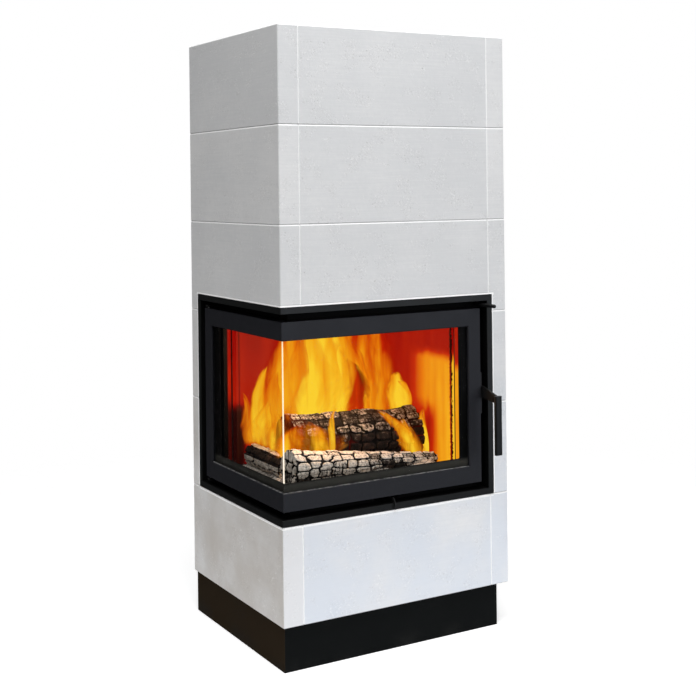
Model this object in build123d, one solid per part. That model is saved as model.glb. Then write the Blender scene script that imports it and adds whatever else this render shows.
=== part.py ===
from build123d import *
import math
import os

# Free-standing tiled stove with a corner fireplace insert. Millimetres.
# X runs right along the front, Y runs into the depth, Z is up.
# The origin is the centre of the tiled body's footprint, on the floor.

# ---- Tiled body ----
body_width = 750
body_depth = 605
plinth_height = 125
course_height = 270
course_count = 6
side_tile_thickness = 62
front_tile_thickness = 60
rear_tile_thickness = 48
tile_bevel = 2
plinth_setback_left = 10
plinth_setback_front = 16
plinth_setback_right = 32
plinth_board = 18
cover_thickness = 40
cover_slot_count = 7
cover_slot_width = 14
cover_slot_length = 360
cover_slot_pitch = 30
bracket_leg = 40
bracket_width = 60
bracket_sheet = 4

# ---- Window frame in the tiles ----
window_first_course = 2
window_course_count = 2
window_rise = 48
window_side_strip = 50
trim_face = 18
trim_depth = 44
trim_joint = 0.8
edge_break = 0.8

# ---- Door ----
door_setback = 6
door_thickness = 30
door_gap = 22
door_gap_below = 20
door_rail = 51
handle_stile = 42
hinge_stile = 44
window_bevel = 2.5
glass_thickness = 4
glass_lap = 12
glass_play = 0.5
lip_thickness = 6
retainer_depth = 6
gasket_inset = 20
gasket_width = 8
seat_gap = 0.3

# ---- Door pivots and handle ----
running_fit = 0.05
pivot_from_face = 8
pivot_from_end = 14
pivot_radius = 4
pivot_reach = 18
hinge_tab_width = 16
hinge_tab_thickness = 6
hinge_tab_gap = 4
bracket_plate = 4
handle_plate_low = 201
handle_plate_height = 121
handle_plate_depth = 28
handle_pivot_up = 63
handle_pin_radius = 4
handle_pin_head = 7
handle_pin_head_length = 2.5
handle_pivot_depth = 10
handle_arm_thickness = 7
handle_side_play = 0.5
grip_width = 23
grip_thickness = 12
grip_height = 171
grip_reach = 67
grip_rounding = 4
keeper_clearance = 0.5
keeper_thickness = 6

# ---- Insert ----
surround_thickness = 24
surround_lap = 8
surround_right_lap = 6
hinge_side_lap = 5
shell_sheet = 5
brick_thickness = 30
brick_joint = 0.6
back_brick_count = 3
side_brick_front = 136
right_lining_step = 18
firebox_depth = 396
hearth_drop = 14
baffle_thickness = 25
baffle_drop = 15
baffle_front_gap = 80
smoke_chamber_height = 145
leg_size = 40
leg_inset = 24
leg_side_inset = 12
foot_radius = 30
foot_height = 12
grate_width = 300
grate_depth = 200
grate_thickness = 18
grate_bar_count = 9
grate_slot = 14
ash_pan_height = 55
ash_pan_wall = 2
ash_pan_play = 8
air_box_width = 380
air_box_depth = 330
air_box_height = 190
air_box_front = 100
air_box_wall = 3
air_port_width = 44
air_port_height = 22
air_port_pitch = 90
air_spigot_radius = 62.5
air_spigot_wall = 1.5
air_spigot_above_tiles = 190
flue_radius = 90
flue_wall = 2
flue_bend_radius = 135
flue_collar_height = 60
flue_from_left = 345
flue_from_front = 300
flue_outlet_above_tiles = 1215

# ---- Air lever ----
air_travel = 35
air_slide_width = 240
air_slide_height = 44
air_slide_thickness = 3
lever_thickness = 3
lever_height = 12
lever_above_trim = 4
lever_overhang = 9
lever_drop = 20
slot_margin = 2

# ---- Damper ----
rod_radius = 5.5
rod_projection = 58
rod_from_trim_side = 14
rod_from_trim_top = 12
rod_rounding = 3
crank_radius = 55
flap_turn = 60
shaft_radius = 6
crank_thickness = 5
crank_pin_radius = 4
crank_pin_play = 0.9
crank_pin_land = 3
crank_pin_overhang = 2
fork_thickness = 7
fork_height = 37
fork_depth = 24
flap_width = 296
flap_depth = 106
flap_thickness = 4
flap_play = 2
hub_radius = 10
shelf_thickness = 5
shelf_front_gap = 60
guide_thickness = 10

# ---- Logs ----
front_log_radius = 52
front_log_end_radius = 20
rear_log_radius = 84
rear_log_end_radius = 78
left_log_radius = 34
log_sides = 10
log_margin = 12
log_gap = 10
log_flat = 4
rear_log_back = 17
rear_log_skew = 38

os.makedirs("parts", exist_ok=True)

left = -body_width / 2
right = body_width / 2
front = -body_depth / 2
rear = body_depth / 2
tiles_bottom = plinth_height
tiles_top = plinth_height + course_count * course_height


def course_z(number):
    # Height of the underside of a course; the lowest course is number 1.
    return tiles_bottom + (number - 1) * course_height


def block(x0, x1, y0, y1, z0, z1):
    middle = Pos((x0 + x1) / 2, (y0 + y1) / 2, (z0 + z1) / 2)
    return middle * Box(x1 - x0, y1 - y0, z1 - z0)


def corner_shell(x0, x1, y0, y1, z0, z1, depth):
    # An upright L in plan: one leg along the front, one along the left side.
    front_leg = block(x0, x1, y0, y0 + depth, z0, z1)
    left_leg = block(x0, x0 + depth, y0, y1, z0, z1)
    return front_leg + left_leg


def rod_between(start, end, radius):
    # A round bar from one point to another.
    direction = Vector(*end) - Vector(*start)
    plane = Plane(origin=start, z_dir=direction)
    return extrude(plane * Circle(radius), direction.length)


def side_profile(points, x0, x1):
    # A plate with a profile given as (y, z) points, between two X positions.
    plane = Plane(origin=(x0, 0, 0), x_dir=(0, 1, 0), z_dir=(1, 0, 0))
    outline = plane * make_face(Polyline(*points, close=True))
    return extrude(outline, x1 - x0)


def save(shape, node):
    export_step(shape, "parts/" + node + ".step")


def save_group(solids, node):
    save(Compound(children=list(solids)), node)


# ---- Window frame, door and firebox levels, from the outside inwards ----
trim_x1 = right - window_side_strip
trim_y1 = rear - rear_tile_thickness
trim_z0 = course_z(window_first_course)
trim_z1 = course_z(window_first_course + window_course_count) + window_rise
cut_course = window_first_course + window_course_count

door_x0 = left + door_setback
door_x1 = trim_x1 - trim_face - door_gap
door_y0 = front + door_setback
door_y1 = trim_y1 - trim_face - door_gap
door_z0 = trim_z0 + trim_face + door_gap_below
door_z1 = trim_z1 - trim_face - door_gap

pane_x1 = door_x1 - handle_stile
pane_y1 = door_y1 - hinge_stile
pane_z0 = door_z0 + door_rail
pane_z1 = door_z1 - door_rail

surround_x0 = left + trim_depth
surround_y0 = front + trim_depth
mouth_x1 = pane_x1 - surround_right_lap
mouth_y1 = pane_y1 - hinge_side_lap
mouth_z0 = pane_z0 - surround_lap
mouth_z1 = pane_z1 + surround_lap

shell_x0 = surround_x0 + surround_thickness
shell_y0 = surround_y0 + surround_thickness
lining_x1 = pane_x1 - right_lining_step
lining_y1 = surround_y0 + firebox_depth
hearth_z = pane_z0 - hearth_drop
shell_x1 = lining_x1 + brick_thickness + shell_sheet
shell_y1 = lining_y1 + brick_thickness + shell_sheet
shell_z0 = hearth_z - brick_thickness - shell_sheet
baffle_z0 = mouth_z1 + baffle_drop
shell_z1 = baffle_z0 + baffle_thickness + smoke_chamber_height + shell_sheet


# ---- Plinth and foundation ----
plinth_x0 = left + plinth_setback_left
plinth_x1 = right - plinth_setback_right
plinth_y0 = front + plinth_setback_front
board = plinth_board
front_board = block(plinth_x0, plinth_x1, plinth_y0, plinth_y0 + board, 0, plinth_height)
rear_board = block(plinth_x0, plinth_x1, rear - board, rear, 0, plinth_height)
side_boards = [
    block(x0, x0 + board, plinth_y0 + board, rear - board, 0, plinth_height)
    for x0 in (plinth_x0, plinth_x1 - board)
]
slab = block(plinth_x0 + board, plinth_x1 - board, plinth_y0 + board, rear - board, 0, plinth_height)
save(front_board, "plinth_front_board")
save(rear_board, "plinth_rear_board")
save_group(side_boards, "plinth_side_boards")
save(slab, "foundation_slab")


# ---- Tiles ----
def tile(x0, x1, y0, y1, z0, z1):
    # A slab with every edge bevelled, so that neighbours meet in a V joint.
    slab_solid = block(x0, x1, y0, y1, z0, z1)
    return chamfer(slab_solid.edges(), tile_bevel)


# The space that the frame and the surround take out of the tiles beside and above them.
frame_space = corner_shell(
    left - 1, trim_x1 + trim_joint, front - 1, trim_y1 + trim_joint,
    trim_z0, trim_z1 + trim_joint, trim_depth + surround_thickness + trim_joint + 1,
)
inner_x0 = left + side_tile_thickness
inner_x1 = right - side_tile_thickness
inner_y0 = front + front_tile_thickness
inner_y1 = rear - rear_tile_thickness
window_courses = range(window_first_course, cut_course)

for number in range(1, course_count + 1):
    low = course_z(number)
    high = course_z(number + 1)
    right_tile = tile(inner_x1, right, front, rear, low, high)
    if window_first_course <= number <= cut_course:
        right_tile = right_tile - frame_space
    save(right_tile, "tile_right_" + str(number))
    if number in window_courses:
        rear_tile = tile(left, inner_x1, inner_y1, rear, low, high)
        save(rear_tile, "tile_rear_" + str(number))
        continue
    left_tile = tile(left, inner_x0, front, rear, low, high)
    front_tile = tile(inner_x0, inner_x1, front, inner_y0, low, high)
    if number == cut_course:
        left_tile = left_tile - frame_space
        front_tile = front_tile - frame_space
    save(left_tile, "tile_left_" + str(number))
    save(front_tile, "tile_front_" + str(number))

# ---- Flue and combustion air positions ----
flue_x = left + flue_from_left
flue_y = front + flue_from_front
flue_out_z = tiles_bottom + flue_outlet_above_tiles
air_x = (shell_x0 + shell_x1) / 2
air_y = front + air_box_front + air_box_depth / 2
spigot_z = tiles_bottom + air_spigot_above_tiles

lower_rear = tile(inner_x0, inner_x1, inner_y1, rear, tiles_bottom, trim_z0)
spigot_hole = rod_between((air_x, inner_y1 - 1, spigot_z), (air_x, rear + 1, spigot_z),
                          air_spigot_radius + trim_joint)
save(lower_rear - spigot_hole, "rear_panel_lower")
upper_rear = tile(inner_x0, inner_x1, inner_y1, rear, course_z(cut_course), tiles_top)
flue_hole = rod_between((flue_x, inner_y1 - 1, flue_out_z), (flue_x, rear + 1, flue_out_z),
                        flue_radius + trim_joint)
save(upper_rear - flue_hole, "rear_panel_upper")

# ---- Top cover with warm-air slots, on angle brackets ----
cover_z0 = tiles_top - cover_thickness
cover = block(inner_x0, inner_x1, inner_y0, inner_y1, cover_z0, tiles_top)
for index in range(cover_slot_count):
    slot_y = (index - (cover_slot_count - 1) / 2) * cover_slot_pitch
    cover = cover - Pos(0, slot_y, cover_z0) * extrude(
        SlotOverall(cover_slot_length, cover_slot_width), cover_thickness)
save(cover, "top_cover")


def cover_bracket(wall_x, side):
    # An angle: one leg on the side tile's inner face, the other under the cover.
    x_out = wall_x + side * bracket_sheet
    x_far = wall_x + side * bracket_leg
    half = bracket_width / 2
    upright = block(min(wall_x, x_out), max(wall_x, x_out), -half, half,
                    cover_z0 - bracket_leg, cover_z0)
    flat = block(min(wall_x, x_far), max(wall_x, x_far), -half, half,
                 cover_z0 - bracket_sheet, cover_z0)
    return upright + flat


bracket_offset = body_depth / 4
brackets = [
    Pos(0, offset, 0) * cover_bracket(wall_x, side)
    for wall_x, side in ((inner_x0, 1), (inner_x1, -1))
    for offset in (-bracket_offset, bracket_offset)
]
save_group(brackets, "cover_brackets")

# ---- Trim frame ----
trim_outer = corner_shell(left, trim_x1, front, trim_y1, trim_z0, trim_z1, trim_depth)
trim_window = corner_shell(
    left - 1, trim_x1 - trim_face, front - 1, trim_y1 - trim_face,
    trim_z0 + trim_face, trim_z1 - trim_face, trim_depth + 2,
)
trim_frame = trim_outer - trim_window
face_edges = [
    edge for edge in trim_frame.edges()
    if edge.center().X - left < edge_break or edge.center().Y - front < edge_break
]
save(chamfer(face_edges, edge_break), "trim_frame")

# ---- Door surround: the flange that the door closes on ----
rod_x = trim_x1 - trim_face - rod_from_trim_side
rod_z = trim_z1 - trim_face - rod_from_trim_top
lever_z0 = trim_z0 + trim_face + lever_above_trim
lever_z1 = lever_z0 + lever_height
surround = corner_shell(
    surround_x0, trim_x1, surround_y0, trim_y1, trim_z0, trim_z1, surround_thickness)
surround_window = corner_shell(
    surround_x0 - 1, mouth_x1, surround_y0 - 1, mouth_y1, mouth_z0, mouth_z1,
    surround_thickness + 2,
)
rod_hole = rod_between((rod_x, surround_y0 - 1, rod_z), (rod_x, shell_y0 + 1, rod_z),
                       rod_radius + running_fit)
lever_sweep = air_travel + lever_thickness / 2 + slot_margin
lever_slot = block(air_x - lever_sweep, air_x + lever_sweep, surround_y0 - 1, shell_y0 + 1,
                   lever_z0 - slot_margin, lever_z1 + slot_margin)
save(surround - surround_window - rod_hole - lever_slot, "door_surround")

# ---- Door: welded frame, panes, retainers and rope seal ----
lip_x = door_x0 + lip_thickness
lip_y = door_y0 + lip_thickness
back_x = door_x0 + door_thickness
back_y = door_y0 + door_thickness
pocket = glass_lap + glass_play
pivot_x = door_x0 + pivot_from_face
pivot_y = door_y1 - pivot_from_end

door_outer = corner_shell(door_x0, door_x1, door_y0, door_y1, door_z0, door_z1, door_thickness)
pane_window = corner_shell(
    door_x0 - 1, pane_x1, door_y0 - 1, pane_y1, pane_z0, pane_z1, door_thickness + 2)
glass_pocket = corner_shell(
    lip_x, pane_x1 + pocket, lip_y, pane_y1 + pocket, pane_z0 - pocket, pane_z1 + pocket,
    door_thickness,
)
door_frame = door_outer - pane_window


def on_pane_edge(edge):
    # True for the front edges of the pane window, on the front and on the left side.
    spot = edge.center()
    on_front = abs(spot.Y - door_y0) < edge_break and spot.X > door_x0 and spot.X < door_x1 - edge_break
    on_left = abs(spot.X - door_x0) < edge_break and spot.Y > door_y0 and spot.Y < door_y1 - edge_break
    inside = spot.Z > door_z0 + edge_break and spot.Z < door_z1 - edge_break
    return (on_front or on_left) and inside


pane_edges = door_frame.edges().filter_by(on_pane_edge)
door_frame = chamfer(pane_edges, window_bevel)
outer_edges = [
    edge for edge in door_frame.edges()
    if min(abs(edge.center().Z - door_z0), abs(edge.center().Z - door_z1)) < edge_break
]
door_frame = chamfer(outer_edges, edge_break)
door_frame = door_frame - glass_pocket
for low, high in ((door_z0 - 1, door_z0 + pivot_reach + seat_gap),
                  (door_z1 - pivot_reach - seat_gap, door_z1 + 1)):
    door_frame = door_frame - rod_between(
        (pivot_x, pivot_y, low), (pivot_x, pivot_y, high), pivot_radius + running_fit)
save(door_frame, "door_frame")

glass_z0 = pane_z0 - glass_lap
glass_z1 = pane_z1 + glass_lap
glass_back_x = lip_x + glass_thickness
glass_back_y = lip_y + glass_thickness
save(block(lip_x, pane_x1 + glass_lap, lip_y, glass_back_y, glass_z0, glass_z1), "glass_front")
save(block(lip_x, glass_back_x, glass_back_y + glass_play, pane_y1 + glass_lap, glass_z0, glass_z1),
     "glass_side")

hold_x = glass_back_x + retainer_depth
hold_y = glass_back_y + retainer_depth
retainers = [
    block(pane_x1, pane_x1 + pocket, glass_back_y, hold_y, pane_z0, pane_z1),
    block(glass_back_x, hold_x, pane_y1, pane_y1 + pocket, pane_z0, pane_z1),
]
for low, high in ((pane_z0 - pocket, pane_z0), (pane_z1, pane_z1 + pocket)):
    retainers.append(block(glass_back_x, pane_x1 + pocket, glass_back_y, hold_y, low, high))
    retainers.append(block(glass_back_x, hold_x, hold_y, pane_y1 + pocket, low, high))
save_group(retainers, "glass_retainers")

gasket_depth = trim_depth - door_setback - door_thickness - seat_gap
seal_x1 = door_x1 - gasket_inset
seal_y1 = door_y1 - gasket_inset
seal_z0 = door_z0 + gasket_inset
seal_z1 = door_z1 - gasket_inset
seal_outer = corner_shell(back_x, seal_x1, back_y, seal_y1, seal_z0, seal_z1, gasket_depth)
seal_inner = corner_shell(
    back_x - 1, seal_x1 - gasket_width, back_y - 1, seal_y1 - gasket_width,
    seal_z0 + gasket_width, seal_z1 - gasket_width, gasket_depth + 2,
)
save(seal_outer - seal_inner, "door_gasket")

# ---- Door pivots: tabs on the surround and pins that enter the door from above and below ----
tab_z = (door_z0 - hinge_tab_gap - hinge_tab_thickness, door_z1 + hinge_tab_gap)
pivot_tabs = []
for low in tab_z:
    tab = block(door_x0, surround_x0, pivot_y - hinge_tab_width / 2, pivot_y + hinge_tab_width / 2,
                low, low + hinge_tab_thickness)
    pivot_tabs.append(tab - rod_between((pivot_x, pivot_y, low - 1),
                                        (pivot_x, pivot_y, low + hinge_tab_thickness + 1),
                                        pivot_radius + running_fit))
save_group(pivot_tabs, "hinge_brackets")
pivot_pins = [
    rod_between((pivot_x, pivot_y, tab_z[0]), (pivot_x, pivot_y, door_z0 + pivot_reach), pivot_radius),
    rod_between((pivot_x, pivot_y, door_z1 - pivot_reach),
                (pivot_x, pivot_y, tab_z[1] + hinge_tab_thickness), pivot_radius),
]
save_group(pivot_pins, "hinge_pins")

# ---- Handle: plate on the door's edge, pin, arm and grip ----
plate_z0 = door_z0 + handle_plate_low
handle_y = door_y0 + handle_pivot_depth
handle_z = plate_z0 + handle_pivot_up
plate_x1 = door_x1 + bracket_plate
handle_plate = block(door_x1, plate_x1, door_y0, door_y0 + handle_plate_depth,
                     plate_z0, plate_z0 + handle_plate_height)
pin_bore = rod_between((door_x1 - 1, handle_y, handle_z), (plate_x1 + 1, handle_y, handle_z),
                       handle_pin_radius + running_fit)
save(handle_plate - pin_bore, "handle_bracket")

arm_x0 = plate_x1 + handle_side_play
arm_x1 = arm_x0 + handle_arm_thickness
head_x0 = arm_x1 + handle_side_play
handle_pin = rod_between((door_x1 + handle_side_play, handle_y, handle_z),
                         (head_x0, handle_y, handle_z), handle_pin_radius)
handle_pin = handle_pin + rod_between(
    (head_x0, handle_y, handle_z), (head_x0 + handle_pin_head_length, handle_y, handle_z),
    handle_pin_head)
save(handle_pin, "handle_pin")

# The arm's outline as steps from its pivot: nose behind, long slope down to the grip in front.
nose_reach = 24
nose_top = 13
nose_width = 6
notch_width = 5
notch_floor = 2
arm_back = 12
arm_shoulder = 18
arm_root = 16
arm_belly = 18
grip_top_drop = 3
arm_tip_height = 22
grip_back = front - grip_reach + grip_thickness / 2
nose_y = handle_y + nose_reach
lip_front = nose_y - nose_width - notch_width
arm_points = [
    (grip_back, handle_z - grip_top_drop),
    (grip_back, handle_z - grip_top_drop - arm_tip_height),
    (handle_y - arm_root, handle_z - arm_belly),
    (lip_front - notch_width, handle_z - arm_belly),
    (nose_y, handle_z - arm_back),
    (nose_y, handle_z + nose_top),
    (nose_y - nose_width, handle_z + nose_top),
    (nose_y - nose_width, handle_z + notch_floor),
    (lip_front - 1, handle_z + notch_floor),
    (lip_front - notch_width, handle_z + arm_back),
    (handle_y - notch_floor, handle_z + arm_shoulder),
    (handle_y - arm_root, handle_z + arm_root),
]
arm = side_profile(arm_points, arm_x0, arm_x1)
arm = arm - rod_between((arm_x0 - 1, handle_y, handle_z), (arm_x1 + 1, handle_y, handle_z),
                        handle_pin_radius + running_fit)
save(arm, "handle_arm")

grip_x = (arm_x0 + arm_x1) / 2
grip_z1 = handle_z - grip_top_drop
grip = block(grip_x - grip_width / 2, grip_x + grip_width / 2, grip_back - grip_thickness, grip_back,
             grip_z1 - grip_height, grip_z1)
grip = fillet(grip.edges().filter_by(Axis.Z), grip_rounding)
save(grip, "handle_grip")

# ---- Latch keeper: a hooked block on the surround, just above the arm's nose ----
keeper_x0 = grip_x - keeper_thickness / 2
keeper_x1 = grip_x + keeper_thickness / 2
keeper_low = handle_z + nose_top + keeper_clearance
keeper_mid = keeper_low + nose_width
keeper = block(keeper_x0, keeper_x1, lip_front, surround_y0, keeper_mid, keeper_mid + nose_top)
keeper = keeper + block(keeper_x0, keeper_x1, lip_front, lip_front + notch_width - 1,
                        keeper_low, keeper_mid)
save(keeper, "latch_keeper")

# ---- Firebox shell ----
damper_z = rod_z + crank_radius * (1 + math.cos(math.radians(flap_turn / 2))) / 2
grate_rim = 10
ash_hole_x = grate_width / 2 - grate_rim
ash_hole_y = grate_depth / 2 - grate_rim
in_x0 = shell_x0 + shell_sheet
in_x1 = shell_x1 - shell_sheet
in_y0 = shell_y0 + shell_sheet
in_y1 = shell_y1 - shell_sheet
bed_z = shell_z0 + shell_sheet
roof_z = shell_z1 - shell_sheet
ash_hole = block(air_x - ash_hole_x, air_x + ash_hole_x, air_y - ash_hole_y, air_y + ash_hole_y,
                 shell_z0 - 1, bed_z + 1)
smoke_hole = rod_between((flue_x, flue_y, roof_z - 1), (flue_x, flue_y, shell_z1 + 1), flue_radius)
shaft_hole = rod_between((shell_x0 - 1, flue_y, damper_z), (shell_x1 + 1, flue_y, damper_z),
                         shaft_radius + running_fit)
mouth = corner_shell(
    shell_x0 - 1, mouth_x1, shell_y0 - 1, mouth_y1, mouth_z0, mouth_z1, shell_sheet + 2)
shell_plates = [
    block(shell_x0, shell_x1, shell_y0, shell_y1, shell_z0, bed_z) - ash_hole,
    block(shell_x0, shell_x1, shell_y0, shell_y1, roof_z, shell_z1) - smoke_hole,
    block(shell_x0, shell_x1, in_y1, shell_y1, bed_z, roof_z),
    block(in_x1, shell_x1, shell_y0, in_y1, bed_z, roof_z) - shaft_hole,
    block(shell_x0, in_x1, shell_y0, in_y0, bed_z, roof_z) - mouth,
    block(shell_x0, in_x0, in_y0, in_y1, bed_z, roof_z) - mouth - shaft_hole,
]
save_group(shell_plates, "firebox_shell")

# ---- Lining ----
gap_x0 = air_x - grate_width / 2 - brick_joint
gap_x1 = air_x + grate_width / 2 + brick_joint
gap_y0 = air_y - grate_depth / 2 - brick_joint
gap_y1 = air_y + grate_depth / 2 + brick_joint
hearth = [
    block(in_x0, in_x1, in_y0, gap_y0, bed_z, hearth_z),
    block(in_x0, in_x1, gap_y1, in_y1, bed_z, hearth_z),
    block(in_x0, gap_x0, gap_y0, gap_y1, bed_z, hearth_z),
    block(gap_x1, in_x1, gap_y0, gap_y1, bed_z, hearth_z),
]
save_group(hearth, "hearth_bricks")

back_pitch = (in_x1 - in_x0 + brick_joint) / back_brick_count
back_bricks = [
    block(in_x0 + index * back_pitch, in_x0 + (index + 1) * back_pitch - brick_joint,
          lining_y1, in_y1, hearth_z, baffle_z0)
    for index in range(back_brick_count)
]
save_group(back_bricks, "back_bricks")
side_split = in_y0 + side_brick_front
side_bricks = [
    block(lining_x1, in_x1, in_y0, side_split, hearth_z, baffle_z0),
    block(lining_x1, in_x1, side_split + brick_joint, lining_y1, hearth_z, baffle_z0),
]
save_group(side_bricks, "side_bricks")
baffle = block(in_x0, in_x1, in_y0 + baffle_front_gap, in_y1, baffle_z0, baffle_z0 + baffle_thickness)
save(baffle, "baffle_plate")

# ---- Fire grate and ash pan ----
grate = block(gap_x0 + brick_joint, gap_x1 - brick_joint, gap_y0 + brick_joint, gap_y1 - brick_joint,
              bed_z, bed_z + grate_thickness)
slot_pitch = (grate_width - 2 * grate_rim) / grate_bar_count
slot_half = grate_depth / 2 - 2 * grate_rim
for index in range(grate_bar_count):
    slot_x = air_x + (index - (grate_bar_count - 1) / 2) * slot_pitch
    grate = grate - block(slot_x - grate_slot / 2, slot_x + grate_slot / 2,
                          air_y - slot_half, air_y + slot_half,
                          bed_z - 1, bed_z + grate_thickness + 1)
save(grate, "fire_grate")

box_z0 = shell_z0 - air_box_height
pan_z0 = box_z0 + air_box_wall
pan_x = ash_hole_x - ash_pan_play
pan_y = ash_hole_y - ash_pan_play
pan = block(air_x - pan_x, air_x + pan_x, air_y - pan_y, air_y + pan_y,
            pan_z0, pan_z0 + ash_pan_height)
pan = pan - block(air_x - pan_x + ash_pan_wall, air_x + pan_x - ash_pan_wall,
                  air_y - pan_y + ash_pan_wall, air_y + pan_y - ash_pan_wall,
                  pan_z0 + ash_pan_wall, pan_z0 + ash_pan_height + 1)
save(pan, "ash_pan")

# ---- Air box, slide plate, lever and spigot ----
box_x0 = air_x - air_box_width / 2
box_x1 = air_x + air_box_width / 2
box_y0 = front + air_box_front
box_y1 = box_y0 + air_box_depth
slide_z1 = lever_z1 + slot_margin
slide_z0 = slide_z1 - air_slide_height
port_z = slide_z0 + slot_margin + air_port_height / 2
slide_y1 = box_y0 - seat_gap
slide_y0 = slide_y1 - air_slide_thickness


def port_row(shift, y0, y1):
    # Three air ports side by side, as cutting blocks.
    return [
        block(air_x + shift + offset - air_port_width / 2, air_x + shift + offset + air_port_width / 2,
              y0, y1, port_z - air_port_height / 2, port_z + air_port_height / 2)
        for offset in (-air_port_pitch, 0, air_port_pitch)
    ]


wall = air_box_wall
front_wall = block(box_x0, box_x1, box_y0, box_y0 + wall, pan_z0, shell_z0)
for port in port_row(0, box_y0 - 1, box_y0 + wall + 1):
    front_wall = front_wall - port
spigot_mouth = rod_between((air_x, box_y1 - wall - 1, spigot_z), (air_x, box_y1 + 1, spigot_z),
                           air_spigot_radius - air_spigot_wall)
ledge_half = air_slide_width / 2 + air_travel + slot_margin
air_box_plates = [
    block(box_x0, box_x1, box_y0, box_y1, box_z0, pan_z0),
    front_wall,
    block(box_x0, box_x1, box_y1 - wall, box_y1, pan_z0, shell_z0) - spigot_mouth,
    block(box_x0, box_x0 + wall, box_y0 + wall, box_y1 - wall, pan_z0, shell_z0),
    block(box_x1 - wall, box_x1, box_y0 + wall, box_y1 - wall, pan_z0, shell_z0),
    block(air_x - ledge_half, air_x + ledge_half, slide_y0 - seat_gap, box_y0,
          slide_z0 - seat_gap - wall, slide_z0 - seat_gap),
]
save_group(air_box_plates, "air_box")

air_slide = block(air_x - air_slide_width / 2, air_x + air_slide_width / 2, slide_y0, slide_y1,
                  slide_z0, slide_z1)
for port in port_row(-air_travel, slide_y0 - 1, slide_y1 + 1):
    air_slide = air_slide - port
save(air_slide, "air_slide")

lever_tip = front - lever_overhang
lever_points = [
    (slide_y0, lever_z0),
    (front - slot_margin, lever_z0),
    (front - lever_overhang / 2, lever_z0 - lever_drop),
    (lever_tip, lever_z0 - lever_drop),
    (lever_tip + slot_margin, lever_z0),
    (front + slot_margin, lever_z1),
    (slide_y0, lever_z1),
]
save(side_profile(lever_points, air_x - lever_thickness / 2, air_x + lever_thickness / 2), "air_lever")

spigot = rod_between((air_x, box_y1, spigot_z), (air_x, rear, spigot_z), air_spigot_radius)
spigot = spigot - rod_between((air_x, box_y1 - 1, spigot_z), (air_x, rear + 1, spigot_z),
                              air_spigot_radius - air_spigot_wall)
save(spigot, "air_spigot")

legs = [
    block(x0, x0 + leg_size, y0, y0 + leg_size, plinth_height + foot_height, shell_z0)
    for x0 in (shell_x0 + leg_side_inset, shell_x1 - leg_side_inset - leg_size)
    for y0 in (shell_y0 + leg_inset, shell_y1 - leg_inset - leg_size)
]
feet = [
    Pos(leg.center().X, leg.center().Y, plinth_height + foot_height / 2) * Cylinder(foot_radius, foot_height)
    for leg in legs
]
save_group([leg + foot for leg, foot in zip(legs, feet)], "insert_legs")

# ---- Flue: collar on the shell and pipe to the rear ----
collar = rod_between((flue_x, flue_y, shell_z1), (flue_x, flue_y, shell_z1 + flue_collar_height),
                     flue_radius + flue_wall + running_fit)
collar = collar - rod_between((flue_x, flue_y, shell_z1 - 1),
                              (flue_x, flue_y, shell_z1 + flue_collar_height + 1),
                              flue_radius + running_fit)
save(collar, "flue_collar")

bend_y = flue_y + flue_bend_radius
bend_z = flue_out_z - flue_bend_radius


def tube(start, end, outer, inner):
    return rod_between(start, end, outer) - rod_between(start, end, inner)


flue_inner = flue_radius - flue_wall
bend_section = Circle(flue_radius) - Circle(flue_inner)
bend_start = Plane(origin=(flue_x, flue_y, bend_z), z_dir=(0, 0, 1)) * bend_section
bend = revolve(bend_start, Axis((flue_x, bend_y, bend_z), (-1, 0, 0)), 90)
upright = tube((flue_x, flue_y, shell_z1), (flue_x, flue_y, bend_z), flue_radius, flue_inner)
level = tube((flue_x, bend_y, flue_out_z), (flue_x, rear, flue_out_z), flue_radius, flue_inner)
save_group([upright, bend, level], "flue_pipe")

# ---- Damper: shelf, flap, cranked shaft, rod with fork, and rod guide ----
shelf_z1 = damper_z - shaft_radius - seat_gap
shelf = block(in_x0, in_x1, in_y0 + shelf_front_gap, in_y1, shelf_z1 - shelf_thickness, shelf_z1)
flap_x0 = flue_x - flap_width / 2
flap_x1 = flue_x + flap_width / 2
shelf = shelf - block(flap_x0 - flap_play, flap_x1 + flap_play, flue_y - flap_depth / 2 - flap_play,
                      flue_y + flap_depth / 2 + flap_play, shelf_z1 - 2 * shelf_thickness,
                      shelf_z1 + shelf_thickness)
save(shelf, "bypass_shelf")

crank_x0 = rod_x - fork_thickness / 2 - seat_gap - crank_thickness
crank_x1 = crank_x0 + crank_thickness
shaft = rod_between((shell_x0, flue_y, damper_z), (crank_x1, flue_y, damper_z), shaft_radius)
pin_far = rod_x + fork_thickness / 2 + crank_pin_overhang
crank_axis = Axis((crank_x0, flue_y, damper_z), (1, 0, 0))
crank_eye = rod_between((crank_x0, flue_y, damper_z), (crank_x1, flue_y, damper_z), hub_radius)
crank_end = rod_between((crank_x0, flue_y, damper_z - crank_radius),
                        (crank_x1, flue_y, damper_z - crank_radius), crank_pin_radius + crank_pin_land)
crank_web = block(crank_x0, crank_x1, flue_y - crank_pin_radius, flue_y + crank_pin_radius,
                  damper_z - crank_radius, damper_z)
crank_pin = rod_between((crank_x0, flue_y, damper_z - crank_radius),
                        (pin_far, flue_y, damper_z - crank_radius), crank_pin_radius)
crank = (crank_eye + crank_end + crank_web + crank_pin).rotate(crank_axis, -flap_turn / 2)
save(shaft + crank, "damper_shaft")

flap = block(flap_x0, flap_x1, flue_y - flap_depth / 2, flue_y + flap_depth / 2,
             damper_z - flap_thickness / 2, damper_z + flap_thickness / 2)
flap = flap + rod_between((flap_x0, flue_y, damper_z), (flap_x1, flue_y, damper_z), hub_radius)
flap = flap - rod_between((flap_x0 - 1, flue_y, damper_z), (flap_x1 + 1, flue_y, damper_z),
                          shaft_radius + running_fit)
flap = flap.rotate(Axis((flue_x, flue_y, damper_z), (1, 0, 0)), -flap_turn)
save(flap, "damper_flap")

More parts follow.
